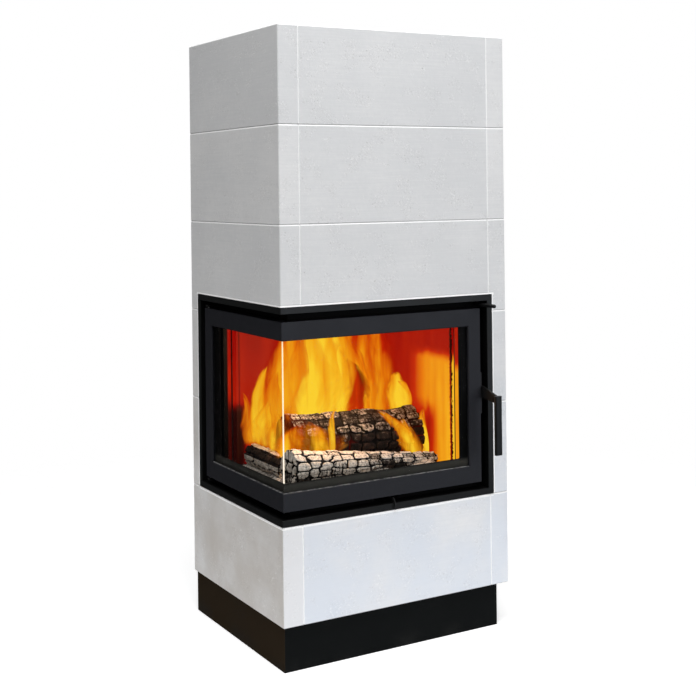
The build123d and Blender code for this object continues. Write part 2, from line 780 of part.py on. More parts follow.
pin_y = flue_y - crank_radius * math.sin(math.radians(flap_turn / 2))
fork_y0 = pin_y - fork_depth / 2
slot_half_width = crank_pin_radius + crank_pin_play
fork_z0 = damper_z - crank_radius - slot_half_width - 2 * crank_pin_radius
fork = block(rod_x - fork_thickness / 2, rod_x + fork_thickness / 2, fork_y0, fork_y0 + fork_depth,
             fork_z0, fork_z0 + fork_height)
fork = fork - block(rod_x - fork_thickness, rod_x + fork_thickness, pin_y - slot_half_width,
                    pin_y + slot_half_width, damper_z - crank_radius - slot_half_width,
                    fork_z0 + fork_height + 1)
rod = rod_between((rod_x, front - rod_projection, rod_z), (rod_x, fork_y0 + 1, rod_z), rod_radius)
rod = fillet(rod.edges().group_by(Axis.Y)[0], rod_rounding)
save(rod + fork, "damper_rod")

guide_y = fork_y0 - 4 * guide_thickness
guide_half = rod_radius + 2 * bracket_sheet
guide = block(shell_x1, rod_x + guide_half, guide_y, guide_y + guide_thickness,
              rod_z - guide_half, rod_z + guide_half)
guide = guide - rod_between((rod_x, guide_y - 1, rod_z), (rod_x, guide_y + guide_thickness + 1, rod_z),
                            rod_radius + running_fit)
save(guide, "rod_guide")


# ---- Logs on the hearth ----
def log(start, end, radius, end_radius):
    # A burnt log from one (x, y) point to another, flat underneath where it lies on the hearth.
    near_point = (start[0], start[1], hearth_z + radius - log_flat)
    end_point = (end[0], end[1], hearth_z + end_radius - log_flat)
    axis = Vector(*end_point) - Vector(*near_point)
    near = Plane(origin=near_point, x_dir=(0, 0, 1), z_dir=axis)
    far = Plane(origin=end_point, x_dir=(0, 0, 1), z_dir=axis)
    bar = loft([near * RegularPolygon(radius, log_sides), far * RegularPolygon(end_radius, log_sides)])
    reach = body_width + body_depth
    return bar - block(-reach, reach, -reach, reach, hearth_z - 2 * radius, hearth_z)


front_log_y = in_y0 + log_margin + front_log_radius
log_front = log((in_x0 + log_margin, front_log_y), (lining_x1 - log_margin, front_log_y),
                front_log_radius, front_log_end_radius)
save(log_front, "log_front")
left_log_x = in_x0 + log_margin + left_log_radius
left_log_y = front_log_y + front_log_radius + log_gap
log_left = log((left_log_x, left_log_y), (left_log_x, lining_y1 - log_margin),
               left_log_radius, left_log_radius)
save(log_left, "log_left")
rear_log_x = left_log_x + left_log_radius + log_gap
rear_log_y = left_log_y + rear_log_radius + rear_log_back
log_rear = log((rear_log_x, rear_log_y), (lining_x1 - log_margin, rear_log_y - rear_log_skew),
               rear_log_radius, rear_log_end_radius)
save(log_rear, "log_rear")
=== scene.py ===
import bmesh
import bpy
import math
import numpy as np
from mathutils import Matrix, Vector


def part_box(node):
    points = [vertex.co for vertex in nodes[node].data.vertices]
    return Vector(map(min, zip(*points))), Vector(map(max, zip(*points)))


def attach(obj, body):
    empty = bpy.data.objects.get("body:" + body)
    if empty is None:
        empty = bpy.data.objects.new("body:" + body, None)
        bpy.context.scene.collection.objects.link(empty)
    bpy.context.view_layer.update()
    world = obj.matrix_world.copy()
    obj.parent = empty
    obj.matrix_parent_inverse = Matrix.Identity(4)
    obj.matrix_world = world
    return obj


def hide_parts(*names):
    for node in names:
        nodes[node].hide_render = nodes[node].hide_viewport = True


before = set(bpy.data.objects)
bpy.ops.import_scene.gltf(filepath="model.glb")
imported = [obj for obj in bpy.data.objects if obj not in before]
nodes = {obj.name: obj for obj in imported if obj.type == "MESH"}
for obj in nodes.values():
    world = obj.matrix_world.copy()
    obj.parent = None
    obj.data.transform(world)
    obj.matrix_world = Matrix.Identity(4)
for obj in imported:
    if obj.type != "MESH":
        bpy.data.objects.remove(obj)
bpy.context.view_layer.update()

scene = bpy.context.scene
scene.view_settings.view_transform = "Standard"


def boxOf(name):
    # the lowest and the highest corner of a CAD node
    return [np.array(corner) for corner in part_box(name)]


# boxes that the pieces below are measured from
plinthLow = boxOf("plinth_side_boards")[0]
trimLow, trimHigh = boxOf("trim_frame")
frontGlassLow, frontGlassHigh = boxOf("glass_front")
sideGlassLow, sideGlassHigh = boxOf("glass_side")
hearthLow, hearthHigh = boxOf("hearth_bricks")
backLow = boxOf("back_bricks")[0]
sideLow = boxOf("side_bricks")[0]

# the camera
view = {
    "place": (-1.8595, -3.2312, 1.3019),  # metres, left of and in front of the stove
    "yaw": 30.1,                          # degrees from +Y towards +X
    "roll": -0.64,
    "lens": 63.51,
    "riseOfFrame": -0.230,
}


def makeCamera():
    camera = bpy.data.cameras.new("photoCamera")
    camera.lens = view["lens"]
    camera.shift_y = view["riseOfFrame"]
    camera.clip_end = 300
    holder = bpy.data.objects.new("photoCamera", camera)
    yaw = math.radians(view["yaw"])
    roll = math.radians(view["roll"])
    ahead = Vector((math.sin(yaw), math.cos(yaw), 0))
    right = Vector((math.cos(yaw), -math.sin(yaw), 0))
    up = Vector((0, 0, 1))
    rolledRight = right * math.cos(roll) + up * math.sin(roll)
    rolledUp = up * math.cos(roll) - right * math.sin(roll)
    turn = Matrix((rolledRight, rolledUp, -ahead)).transposed().to_4x4()
    holder.matrix_world = Matrix.Translation(view["place"]) @ turn
    scene.collection.objects.link(holder)
    scene.camera = holder


studio = {
    "sky": 0.21,            # strength of the even white surround as a light
    "sheen": 0.05,          # the surround in reflections
    "backdrop": 1.0,        # the surround as the camera sees it
    "floorRadius": 2.8,     # the floor fades into the backdrop between these two radii
    "floorClear": 1.0,
    "floorColour": (0.92, 0.92, 0.92, 1),
    "floorGlow": 0.52,
    "floorRings": 24,
    "floorSpokes": 96,
    "floorDrop": 0.0005,    # metres under the plinth
    "lamps": [
        # name, place, point aimed at, size, watts, colour
        ("topLamp", (-0.75, -1.25, 4.3), (-0.2, -0.3, 0.6), 2.6, 160, (1.0, 1.0, 1.0)),
        ("keyLamp", (2.6, -5.2, 3.0), (0.0, 0.0, 0.9), 2.6, 50, (1.0, 0.985, 0.97)),
        ("coolLamp", (2.5, -4.6, 0.8), (0.0, -0.3, 0.6), 2.2, 34, (0.82, 0.89, 1.0)),
        ("sideLamp", (-4.6, 1.2, 2.4), (-0.3, 0.0, 0.9), 2.2, 2, (1.0, 0.93, 0.84)),
    ],
}


def hangLamp(name, kind, watts, colour, place):
    lamp = bpy.data.lights.new(name, kind)
    lamp.energy = watts
    lamp.color = colour
    holder = bpy.data.objects.new(name, lamp)
    holder.location = place
    scene.collection.objects.link(holder)
    return holder


def makeStudio():
    world = bpy.data.worlds.new("studio")
    world.use_nodes = True
    tree = world.node_tree
    output = tree.nodes["World Output"].inputs["Surface"]
    seen = tree.nodes.new("ShaderNodeLightPath")
    shown = tree.nodes["Background"]
    shown.inputs["Color"].default_value = (1, 1, 1, 1)
    shown.inputs["Strength"].default_value = studio["sky"]
    for name, ray in (("sheen", "Is Glossy Ray"), ("backdrop", "Is Camera Ray")):
        other = tree.nodes.new("ShaderNodeBackground")
        other.inputs["Color"].default_value = (1, 1, 1, 1)
        other.inputs["Strength"].default_value = studio[name]
        choice = tree.nodes.new("ShaderNodeMixShader")
        tree.links.new(seen.outputs[ray], choice.inputs[0])
        tree.links.new(shown.outputs[0], choice.inputs[1])
        tree.links.new(other.outputs[0], choice.inputs[2])
        shown = choice
    tree.links.new(shown.outputs[0], output)
    scene.world = world
    for name, place, aim, size, watts, colour in studio["lamps"]:
        lamp = hangLamp(name, "AREA", watts, colour, place)
        lamp.data.size = size
        lamp.rotation_euler = (Vector(aim) - Vector(place)).to_track_quat("-Z", "Y").to_euler()


def term(operation, numberFirst=False):
    # a method of Wire that adds one maths node
    def apply(self, other=0.0):
        pair = {0: other, 1: self} if numberFirst else {0: self, 1: other}
        return self.finish.node("Math", {"operation": operation}, pair)
    return apply


class Wire:
    # a node's output that sums can be written on
    __add__ = __radd__ = term("ADD")
    __sub__ = term("SUBTRACT")
    __rsub__ = term("SUBTRACT", numberFirst=True)
    __mul__ = term("MULTIPLY")
    __truediv__ = term("DIVIDE")
    __pow__ = term("POWER")
    __gt__ = term("GREATER_THAN")
    __lt__ = term("LESS_THAN")
    least = term("MINIMUM")
    most = term("MAXIMUM")
    size = term("ABSOLUTE")
    wave = term("SINE")
    floor = term("FLOOR")
    fraction = term("FRACT")

    def __init__(self, finish, socket):
        self.finish = finish
        self.socket = socket


class Finish:
    # a material being built on one Principled shader; plain values go straight to its sockets
    def __init__(self, name, **plain):
        self.material = bpy.data.materials.new(name)
        self.material.use_nodes = True
        self.tree = self.material.node_tree
        self.shader = self.tree.nodes["Principled BSDF"]
        for socket, value in plain.items():
            self.give(socket.replace("_", " "), value)
        self.place = self.node("TexCoord", output="Object")
        self.sheet = self.node("TexCoord", output="UV")

    def node(self, kind, settings=None, values=None, output=0):
        made = self.tree.nodes.new("ShaderNode" + kind)
        for key, value in (settings or {}).items():
            if key == "stops":
                self.fillRamp(made.color_ramp, value)
            else:
                setattr(made, key, value)
        for key, value in (values or {}).items():
            if isinstance(value, Wire):
                self.tree.links.new(value.socket, made.inputs[key])
            else:
                made.inputs[key].default_value = value
        return Wire(self, made.outputs[output])

    def fillRamp(self, ramp, stops):
        while len(ramp.elements) < len(stops):
            ramp.elements.new(0.5)
        for element, (where, colour) in zip(ramp.elements, stops):
            element.position = where
            element.color = colour + (1,)

    def give(self, socket, value):
        target = self.shader.inputs[socket]
        if isinstance(value, Wire):
            self.tree.links.new(value.socket, target)
        else:
            target.default_value = value

    def stretched(self, scale, move=(0, 0, 0), source=None):
        values = {"Vector": source or self.place, "Scale": scale, "Location": move}
        return self.node("Mapping", None, values)

    def noise(self, scale, detail=3, rough=0.5, source=None, warp=0.0):
        values = {"Vector": source or self.place, "Scale": scale, "Detail": detail,
                  "Roughness": rough, "Distortion": warp}
        return self.node("TexNoise", None, values)

    def drawn(self, scale, detail=3, rough=0.5):
        # noise with its own repeats per metre along each axis
        return self.noise(1.0, detail, rough, self.stretched(scale))

    def cells(self, scale, feature="F1"):
        values = {"Vector": self.place, "Scale": scale}
        return self.node("TexVoronoi", {"feature": feature}, values)

    def between(self, value, low, high, start=0.0, end=1.0):
        settings = {"interpolation_type": "SMOOTHSTEP"}
        values = {0: value, 1: low, 2: high, 3: start, 4: end}
        return self.node("MapRange", settings, values)

    def ramp(self, value, stops):
        return self.node("ValToRGB", {"stops": stops}, {0: value})

    def blendColour(self, amount, first, second):
        pair = [colour + (1,) if isinstance(colour, tuple) else colour for colour in (first, second)]
        values = {0: amount, 6: pair[0], 7: pair[1]}
        return self.node("Mix", {"data_type": "RGBA"}, values, output=2)

    def axes(self, source=None):
        parts = self.node("SeparateXYZ", None, {0: source or self.place})
        return [Wire(self, parts.socket.node.outputs[index]) for index in range(3)]

    def reading(self, name):
        return self.node("Attribute", {"attribute_name": name}, None, output="Fac")

    def relief(self, height, depth, strength=1.0):
        values = {"Height": height, "Distance": depth, "Strength": strength}
        self.give("Normal", self.node("Bump", None, values))

    def colour(self, amount, first, second):
        self.give("Base Color", self.blendColour(amount, first, second))

    def glow(self, glowLevel):
        self.give("Emission Color", self.ramp(glowLevel, glowStops))

    def roughen(self, value, low, high, start, end):
        self.give("Roughness", self.between(value, low, high, start, end))

    def show(self, wire):
        self.tree.links.new(wire.socket, self.tree.nodes["Material Output"].inputs["Surface"])


def dress(material, *names):
    # gives the CAD nodes of these names one material in all their slots
    for name in names:
        mesh = nodes[name].data
        mesh.materials.clear()
        mesh.materials.append(material)


# the cast tiles: fine pale plaster with faint brushing and small pits; a painted highlight along the top of
# each course, the upright joints, the arrises round the frame's cut-out and the raised flecks, and a painted
# shade along the foot of each course
plaster = {
    "light": (0.765, 0.765, 0.765),
    "dark": (0.665, 0.672, 0.680),
    "cool": (0.615, 0.670, 0.755),
    "pale": (0.700, 0.712, 0.740),
    "warm": (0.47, 0.43, 0.385),
    # colour of the painted highlight
    "edge": (0.98, 0.98, 0.98),
    # colour of the painted shade at the foot of each course
    "paintedJointShade": (0.40, 0.40, 0.41),
    "plinthTop": 0.125,
    "course": 0.270,
    "lit": 0.0048,          # metres below a bed joint that catch the light, given a painted highlight
    "shaded": 0.0026,       # metres above it that don't, given a painted shade
    "sideSeam": 0.3131,     # where front and side tiles meet, from the middle
    "arris": 0.0066,        # width of the painted highlight on the arris round the frame's cut-out
    "lip": 0.0070,          # and of the one under it
    "cloud": 5.0,           # repeats per metre of the broad mottling
    "grain": 520.0,
    "pits": 62.0,
    "pitSize": 0.20,
    "brushing": (9, 9, 210),
}


def plasterFinish():
    p = plaster
    finish = Finish("plaster", Specular_IOR_Level=0.35)
    x, y, z = finish.axes()
    course = (z - p["plinthTop"]) / p["course"]
    row = course.floor()
    column = (x > p["sideSeam"]) + (x < -p["sideSeam"]) * 2
    label = finish.node("CombineXYZ", None, {0: row, 1: column, 2: 3.7})
    tint = finish.node("TexWhiteNoise", None, {"Vector": label})
    cloud = finish.noise(p["cloud"], detail=4, rough=0.55)
    fleck = finish.noise(70.0, detail=3, rough=0.6)
    brushed = finish.drawn(p["brushing"], rough=0.6)
    grain = finish.noise(p["grain"], detail=2, rough=0.7)
    cluster = finish.between(finish.noise(17.0, detail=2), 0.46, 0.60)
    pits = finish.between(finish.cells(p["pits"]), p["pitSize"], 0.05) * cluster
    worms = finish.noise(185.0, detail=1, warp=1.0)
    scars = finish.between(worms, 0.40, 0.33) * cluster
    bumps = finish.between(worms, 0.61, 0.67) * cluster
    shade = tint * 0.25 + cloud * 0.55 + brushed * 0.34 + fleck * 0.24 + grain * 0.12
    body = finish.blendColour(finish.between(shade, 0.46, 0.98), p["light"], p["dark"])
    low = finish.between(z, 1.15, 0.15) * finish.between(cloud, 0.15, 0.70)
    onSide = finish.between(x.size(), 0.3735, 0.3745)
    lowTint = finish.blendColour(x > -p["sideSeam"], p["pale"], p["cool"])
    lowTint = finish.blendColour(onSide, lowTint, p["warm"])
    body = finish.blendColour(low * 0.7, body, lowTint)
    body = finish.blendColour(pits * 0.26 + scars * 0.16, body, (0.42, 0.42, 0.41))
    # painted highlight on the raised flecks
    body = finish.blendColour(bumps * 0.26, body, p["edge"])
    above = course.fraction() * p["course"]
    below = p["course"] - above
    uneven = (fleck - 0.5) * 0.0012
    # painted highlight on the top of each course, just under a bed joint
    lit = finish.between(below + uneven, p["lit"], p["lit"] * 0.55)
    # painted shade at the foot of each course, just above a bed joint
    shaded = finish.between(above + uneven, p["shaded"], p["shaded"] * 0.4)
    # painted highlight along the upright joints
    upright = finish.between((x.size() - p["sideSeam"]).size() + uneven, 0.0026, 0.0010)
    body = finish.blendColour(upright * 0.7, body, p["edge"])
    # painted highlight on the arrises over, beside and under the trim
    overHead = z - trimHigh[2]
    overTrim = finish.between(overHead, p["arris"], p["arris"] * 0.7) * (x < trimHigh[0] + p["arris"])
    overTrim = overTrim * (y < trimHigh[1] + p["arris"]) * (overHead > -0.002)
    inFrame = (z < trimHigh[2]) * (z > trimLow[2])
    besideTrim = finish.between((x - trimHigh[0] - 0.001).size(), p["arris"] * 0.6, p["arris"] * 0.35)
    behindTrim = finish.between((y - trimHigh[1] - 0.001).size(), p["arris"] * 0.6, p["arris"] * 0.35)
    besideTrim = (besideTrim + behindTrim * (x < -0.37)).least(1.0) * inFrame
    underHead = z - trimLow[2] + p["lip"]
    underTrim = (x < trimHigh[0]) * (y < trimHigh[1]) * (underHead > 0) * (underHead < p["lip"])
    underTrim = underTrim * (onSide * 0.4 + 0.6)
    lit = lit.most(overTrim.most(besideTrim)).most(underTrim)
    body = finish.blendColour(lit, body, p["edge"])
    # the painted shade goes into the colour
    body = finish.blendColour(shaded * 0.75, body, p["paintedJointShade"])
    finish.give("Base Color", body)
    finish.roughen(grain + cloud * 0.3, 0.3, 0.9, 0.62, 0.82)
    skin = grain * 0.35 + brushed * 0.55 + fleck * 0.8 - pits * 1.6 - scars * 0.8 + bumps * 0.8
    turned = finish.between(below, p["lit"], 0.0) * -3.0
    turned = turned - overTrim * overHead * 1100 - underTrim * underHead * 700
    finish.relief(skin + turned, 0.0007, 0.6)
    return finish.material


# painted board of the set-back plinth
plinthPaint = {
    "colour": (0.0068, 0.0076, 0.0078),
    "dust": (0.018, 0.018, 0.0175),
    "warm": (0.0215, 0.0155, 0.0100),   # the left board: painted light, lighter and warmer than the front
    "weave": (60, 60, 900),
}


def plinthFinish():
    p = plinthPaint
    finish = Finish("plinthPaint", Specular_IOR_Level=0.0)
    streak = finish.drawn(p["weave"])
    cloud = finish.noise(7.0, detail=5, rough=0.6)
    x, y, z = finish.axes()
    settled = finish.between(z, 0.05, 0.0) * finish.between(cloud, 0.4, 0.7)
    dust = settled * 0.5 + finish.between(streak * 0.5 + cloud * 0.5, 0.48, 0.8) * 0.35
    # painted light: the left board takes the lighter, warmer colour
    body = finish.blendColour(x < plinthLow[0] + 0.001, p["colour"], p["warm"])
    finish.colour(dust, body, p["dust"])
    finish.roughen(cloud, 0.2, 0.8, 0.55, 0.78)
    finish.relief(streak + finish.noise(700.0, detail=2) * 0.4, 0.0003, 0.35)
    return finish.material


# powder-coated and heat-proof painted steel; each is a fine orange peel over a dark colour
coats = {
    "trimBlack": {"colour": (0.0062, 0.0068, 0.0070), "worn": (0.022, 0.022, 0.021), "peel": 620.0,
                  "low": 0.34, "high": 0.50, "depth": 0.00016},
    "doorAnthracite": {"colour": (0.0135, 0.0143, 0.0190), "worn": (0.020, 0.021, 0.025), "peel": 980.0,
                       "low": 0.46, "high": 0.62, "depth": 0.00011},
    "handleBlack": {"colour": (0.0050, 0.0050, 0.0054), "worn": (0.018, 0.018, 0.017), "peel": 760.0,
                    "low": 0.30, "high": 0.46, "depth": 0.00012},
}


# painted highlight along the bottom rail's inner arris, where the pane meets it
sill = {"height": 0.484, "right": 0.242, "rear": 0.1695, "colour": (0.30, 0.30, 0.29)}


def coatFinish(name):
    p = coats[name]
    finish = Finish(name, Specular_IOR_Level=0.30)
    peel = finish.noise(p["peel"], detail=2, rough=0.6)
    cloud = finish.noise(9.0, detail=4, rough=0.55)
    specks = finish.between(finish.cells(210.0), 0.13, 0.05) * finish.between(finish.noise(40.0), 0.5, 0.62)
    rubbed = finish.between(cloud * 0.6 + finish.noise(160.0, detail=3) * 0.4, 0.50, 0.78)
    body = finish.blendColour(rubbed * 0.45 + specks * 0.4, p["colour"], p["worn"])
    x, y, z = finish.axes()
    if name == "trimBlack":
        # painted shade: inside the recess, behind the trim's outer faces, the trim turns near black
        recessShade = finish.between(y, trimLow[1] + 0.001, trimLow[1] + 0.004)
        recessShade = recessShade * finish.between(x, trimLow[0] + 0.001, trimLow[0] + 0.004)
        body = finish.blendColour(recessShade * 0.85, body, (0.0008, 0.0008, 0.0008))
    if name == "doorAnthracite":
        # painted highlight in broken dashes along the rail's inner arris
        sillHighlight = finish.between((z - sill["height"]).size(), 0.0012, 0.0006)
        sillHighlight = sillHighlight * (x < sill["right"]) * (y < sill["rear"])
        dashes = finish.between(finish.noise(90.0, detail=2), 0.38, 0.60)
        body = finish.blendColour(sillHighlight * (dashes * 0.5 + 0.08), body, sill["colour"])
    finish.give("Base Color", body)
    finish.roughen(cloud + peel * 0.25, 0.3, 0.9, p["low"], p["high"])
    finish.relief(peel + specks * 0.6, p["depth"], 0.5)
    return finish.material


# colours of the fire's glow, from dull red to pale yellow
glowStops = [
    (0.00, (0.000, 0.0000, 0.0000)),
    (0.09, (0.075, 0.0010, 0.0003)),
    (0.22, (0.340, 0.0025, 0.0006)),
    (0.42, (0.560, 0.0200, 0.0010)),
    (0.62, (0.800, 0.1900, 0.0030)),
    (0.80, (0.920, 0.4000, 0.0100)),
    (1.00, (1.000, 0.6400, 0.0300)),
]


# the door surround: the same black, with its reveal lit by the fire as painted firelight that glows
reveal = {"right": 0.237, "rear": 0.1655, "grip": 0.0006, "low": 0.477, "high": 0.899, "split": 0.80,
          "inner": -0.318}


def surroundFinish():
    p = reveal
    finish = Finish("doorSurround", Specular_IOR_Level=0.02, Emission_Strength=1.0)
    x, y, z = finish.axes()
    peel = finish.noise(620.0, detail=2, rough=0.6)
    cloud = finish.drawn((9, 9, 16))
    inMouth = finish.between(z, p["low"] - 0.0005, p["low"])
    inMouth = inMouth * finish.between(z, p["high"] + 0.0005, p["high"])
    onRight = finish.between((x - p["right"]).size(), p["grip"] * 1.5, p["grip"])
    onRear = finish.between((y - p["rear"]).size(), p["grip"] * 1.5, p["grip"])
    bright = finish.between(z + (cloud - 0.5) * 0.05, p["split"], p["split"] - 0.05)
    # painted firelight is dimmer on the rear reveal at this height
    rearGlowDip = onRear * finish.between(z, 0.69, 0.62)
    glowLevel = onRight * (bright * 0.46 + 0.28) + onRear * (bright * 0.08 + 0.24) + (cloud - 0.5) * 0.12
    inner = finish.between(x, p["inner"] - 0.002, p["inner"] + 0.002)
    lit = onRight.most(onRear * inner) * inMouth * (1 - rearGlowDip * 0.9)
    body = finish.blendColour(cloud, (0.0030, 0.0030, 0.0032), (0.0075, 0.0072, 0.0070))
    finish.give("Base Color", body)
    # painted firelight on the reveal, fed to the emission
    finish.give("Emission Color", finish.blendColour(lit, (0, 0, 0), finish.ramp(glowLevel, glowStops)))
    finish.roughen(peel, 0.3, 0.8, 0.36, 0.52)
    finish.relief(peel, 0.00016, 0.5)
    return finish.material


# heat-proof pane: clear, with a faint haze that thickens towards the bottom
pane = {"base": 0.004, "edgeOn": 0.45}


def paneFinish():
    finish = Finish("fireGlass", Base_Color=(0.02, 0.02, 0.02, 1), Roughness=0.04, IOR=1.5)
    facing = finish.node("LayerWeight", None, {"Blend": 0.5}, output="Facing")
    haze = finish.noise(14.0, detail=5, rough=0.6)
    low = finish.between(finish.axes()[2], 0.62, 0.47)
    gloss = facing ** 5.0 * pane["edgeOn"] + pane["base"]
    smoke = finish.between(haze, 0.52, 0.80) * low * 0.03
    clear = finish.node("BsdfTransparent", None, {0: (0.985, 0.985, 0.98, 1)})
    solid = Wire(finish, finish.shader.outputs[0])
    finish.show(finish.node("MixShader", None, {0: gloss + smoke, 1: clear, 2: solid}))
    return finish.material


# braided glass-fibre rope in the door's groove
def ropeFinish():
    finish = Finish("ropeSeal", Roughness=0.92, Specular_IOR_Level=0.2)
    x, y, z = finish.axes()
    strand = ((x + y + z) * 2600).wave() * ((x + y - z) * 2600).wave()
    fuzz = finish.noise(900.0, detail=3)
    tone = finish.between(strand * 0.5 + fuzz, 0.1, 1.0)
    finish.colour(tone, (0.018, 0.017, 0.016), (0.085, 0.082, 0.078))
    finish.relief(strand + fuzz * 0.5, 0.0006, 0.8)
    return finish.material


# bare and scaled steel: sheet with mill scale, and turned bright pins
steels = {
    "boilerSteel": {"colour": (0.105, 0.108, 0.115), "scale": (0.040, 0.036, 0.034), "patch": 11.0,
                    "low": 0.38, "high": 0.66, "grain": (40, 40, 900)},
    "brightSteel": {"colour": (0.56, 0.56, 0.57), "scale": (0.33, 0.32, 0.31), "patch": 60.0,
                    "low": 0.20, "high": 0.36, "grain": (900, 900, 120)},
}


def steelFinish(name):
    p = steels[name]
    finish = Finish(name, Metallic=0.9)
    patch = finish.noise(p["patch"], detail=5, rough=0.62, warp=0.4)
    grain = finish.drawn(p["grain"], 2)
    scale = finish.between(patch + grain * 0.15, 0.48, 0.72)
    finish.colour(scale, p["colour"], p["scale"])
    finish.roughen(scale + grain * 0.3, 0.0, 1.2, p["low"], p["high"])
    finish.relief(grain + scale * 0.8, 0.00018, 0.45)
    return finish.material


print("plain finishes are written")


# firebrick lining with painted firelight glowing on it: brightest near the front of the right wall, deep red
# up high
chamotte = {
    "brick": (0.022, 0.008, 0.005),
    "soot": (0.008, 0.006, 0.005),
    "glowTop": 0.800,        # metres above the floor where the bright part of the wall ends
    "glowBottom": 0.470,
    "seams": (-0.293, 0.189),  # expansion cuts of the back wall
}


def chamotteFinish():
    p = chamotte
    finish = Finish("chamotte", Specular_IOR_Level=0.06, Emission_Strength=1.0)
    x, y, z = finish.axes()
    cloud = finish.noise(6.5, detail=4, rough=0.55)
    streak = finish.drawn((22, 22, 2.6))
    grit = finish.noise(420.0, detail=2, rough=0.7)
    soot = finish.between(cloud + streak * 0.4, 0.55, 0.95)
    wall = finish.between(x, sideLow[0] - 0.002, sideLow[0] + 0.001)
    height = z + (cloud - 0.5) * 0.05 + (streak - 0.5) * 0.04
    underTop = finish.between(height, p["glowTop"] + 0.025, p["glowTop"] - 0.025)
    nearFront = finish.between(y + (streak - 0.5) * 0.10, 0.02, -0.115)
    # painted shade: the glow drops low at the rear of the right wall
    lowRear = finish.between(height, 0.66, 0.58) * finish.between(y, -0.17, -0.11)
    onWall = wall * underTop * nearFront * (1 - lowRear * 0.95) * (0.53 + streak * 0.22)
    rearLow = (1 - wall) * finish.between(height, p["glowTop"] + 0.10, p["glowBottom"]) * 0.14
    # painted shade in the low left corner
    corner = finish.between(x, hearthLow[0] + 0.045, hearthLow[0] + 0.015)
    corner = corner * finish.between(height, 0.67, 0.63)
    jag = finish.noise(120.0, detail=3, rough=0.8)
    fromArris = (x - sideLow[0]).most(y - sideLow[1])
    split = wall * finish.between(fromArris + (jag - 0.5) * 0.022, 0.0058, 0.0044)
    # painted shade just above the hearth
    hearth = finish.between(z, hearthHigh[2] + 0.004, hearthHigh[2] + 0.001)
    glowLevel = onWall + rearLow + (streak - 0.5) * 0.24 + (cloud - 0.5) * 0.12 + 0.23
    seams = finish.between((x - p["seams"][0]).size(), 0.0035, 0.0015).most(
        finish.between((x - p["seams"][1]).size(), 0.0035, 0.0015))
    glowLevel = glowLevel * (1 - corner * 0.95) * (1 - hearth * 0.9) * (1 - seams * 0.45) * (1 - split)
    finish.colour(soot * 0.6, p["brick"], p["soot"])
    # painted firelight: the glow level feeds the emission
    finish.glow(glowLevel)
    finish.roughen(grit, 0.3, 0.8, 0.75, 0.95)
    finish.relief(grit * 0.6 + cloud * 0.6, 0.0008, 0.7)
    return finish.material


# cast grate: rough iron with grey ash in the hollows
def grateFinish():
    finish = Finish("grateIron", Metallic=0.5, Specular_IOR_Level=0.3)
    rough = finish.noise(190.0, detail=4, rough=0.65)
    ash = finish.between(finish.noise(26.0, detail=4), 0.46, 0.66)
    finish.colour(ash * 0.8, (0.035, 0.033, 0.032), (0.30, 0.28, 0.26))
    finish.roughen(rough, 0.3, 0.7, 0.7, 0.95)
    finish.relief(rough, 0.0008, 0.8)
    return finish.material


# aerated block under the body
def blockFinish():
    finish = Finish("aeratedBlock", Specular_IOR_Level=0.2, Roughness=0.93)
    pores = finish.between(finish.cells(420.0), 0.34, 0.10)
    cloud = finish.noise(16.0, detail=4)
    base = finish.blendColour(finish.between(cloud, 0.3, 0.7), (0.56, 0.56, 0.54), (0.68, 0.67, 0.64))
    finish.colour(pores * 0.7, base, (0.30, 0.30, 0.29))
    finish.relief(0 - pores, 0.0007, 0.8)
    return finish.material


# ceramic print behind the pane
def printFinish():
    finish = Finish("panePrint", Specular_IOR_Level=0.06)
    cloud = finish.noise(30.0, detail=3)
    film = finish.between(finish.axes()[2], 0.512, 0.500)
    black = finish.blendColour(cloud, (0.0012, 0.0012, 0.0014), (0.0032, 0.0030, 0.0030))
    finish.colour(film, black, (0.034, 0.033, 0.029))
    finish.roughen(cloud, 0.3, 0.7, 0.45, 0.6)
    return finish.material


# the ground edge of the panes at the corner, which pipes the fire's light; it glows as painted light, also
# standing in for the highlight on the polished edge
def groundEdgeFinish():
    finish = Finish("groundGlassEdge", Roughness=0.30, Emission_Strength=0.55, IOR=1.5)
    z = finish.axes()[2]
    ripple = finish.drawn((60, 60, 34))
    warm = finish.between(z + (ripple - 0.5) * 0.1, 0.90, 0.48)
    cream = finish.blendColour(warm, (1.0, 0.80, 0.50), (0.95, 0.88, 0.74))
    finish.give("Base Color", cream)
    # painted light: the edge glows in its own colour
    finish.give("Emission Color", finish.blendColour(ripple * 0.35, cream, (0.9, 0.55, 0.25)))
    finish.relief(ripple, 0.0002, 0.4)
    return finish.material


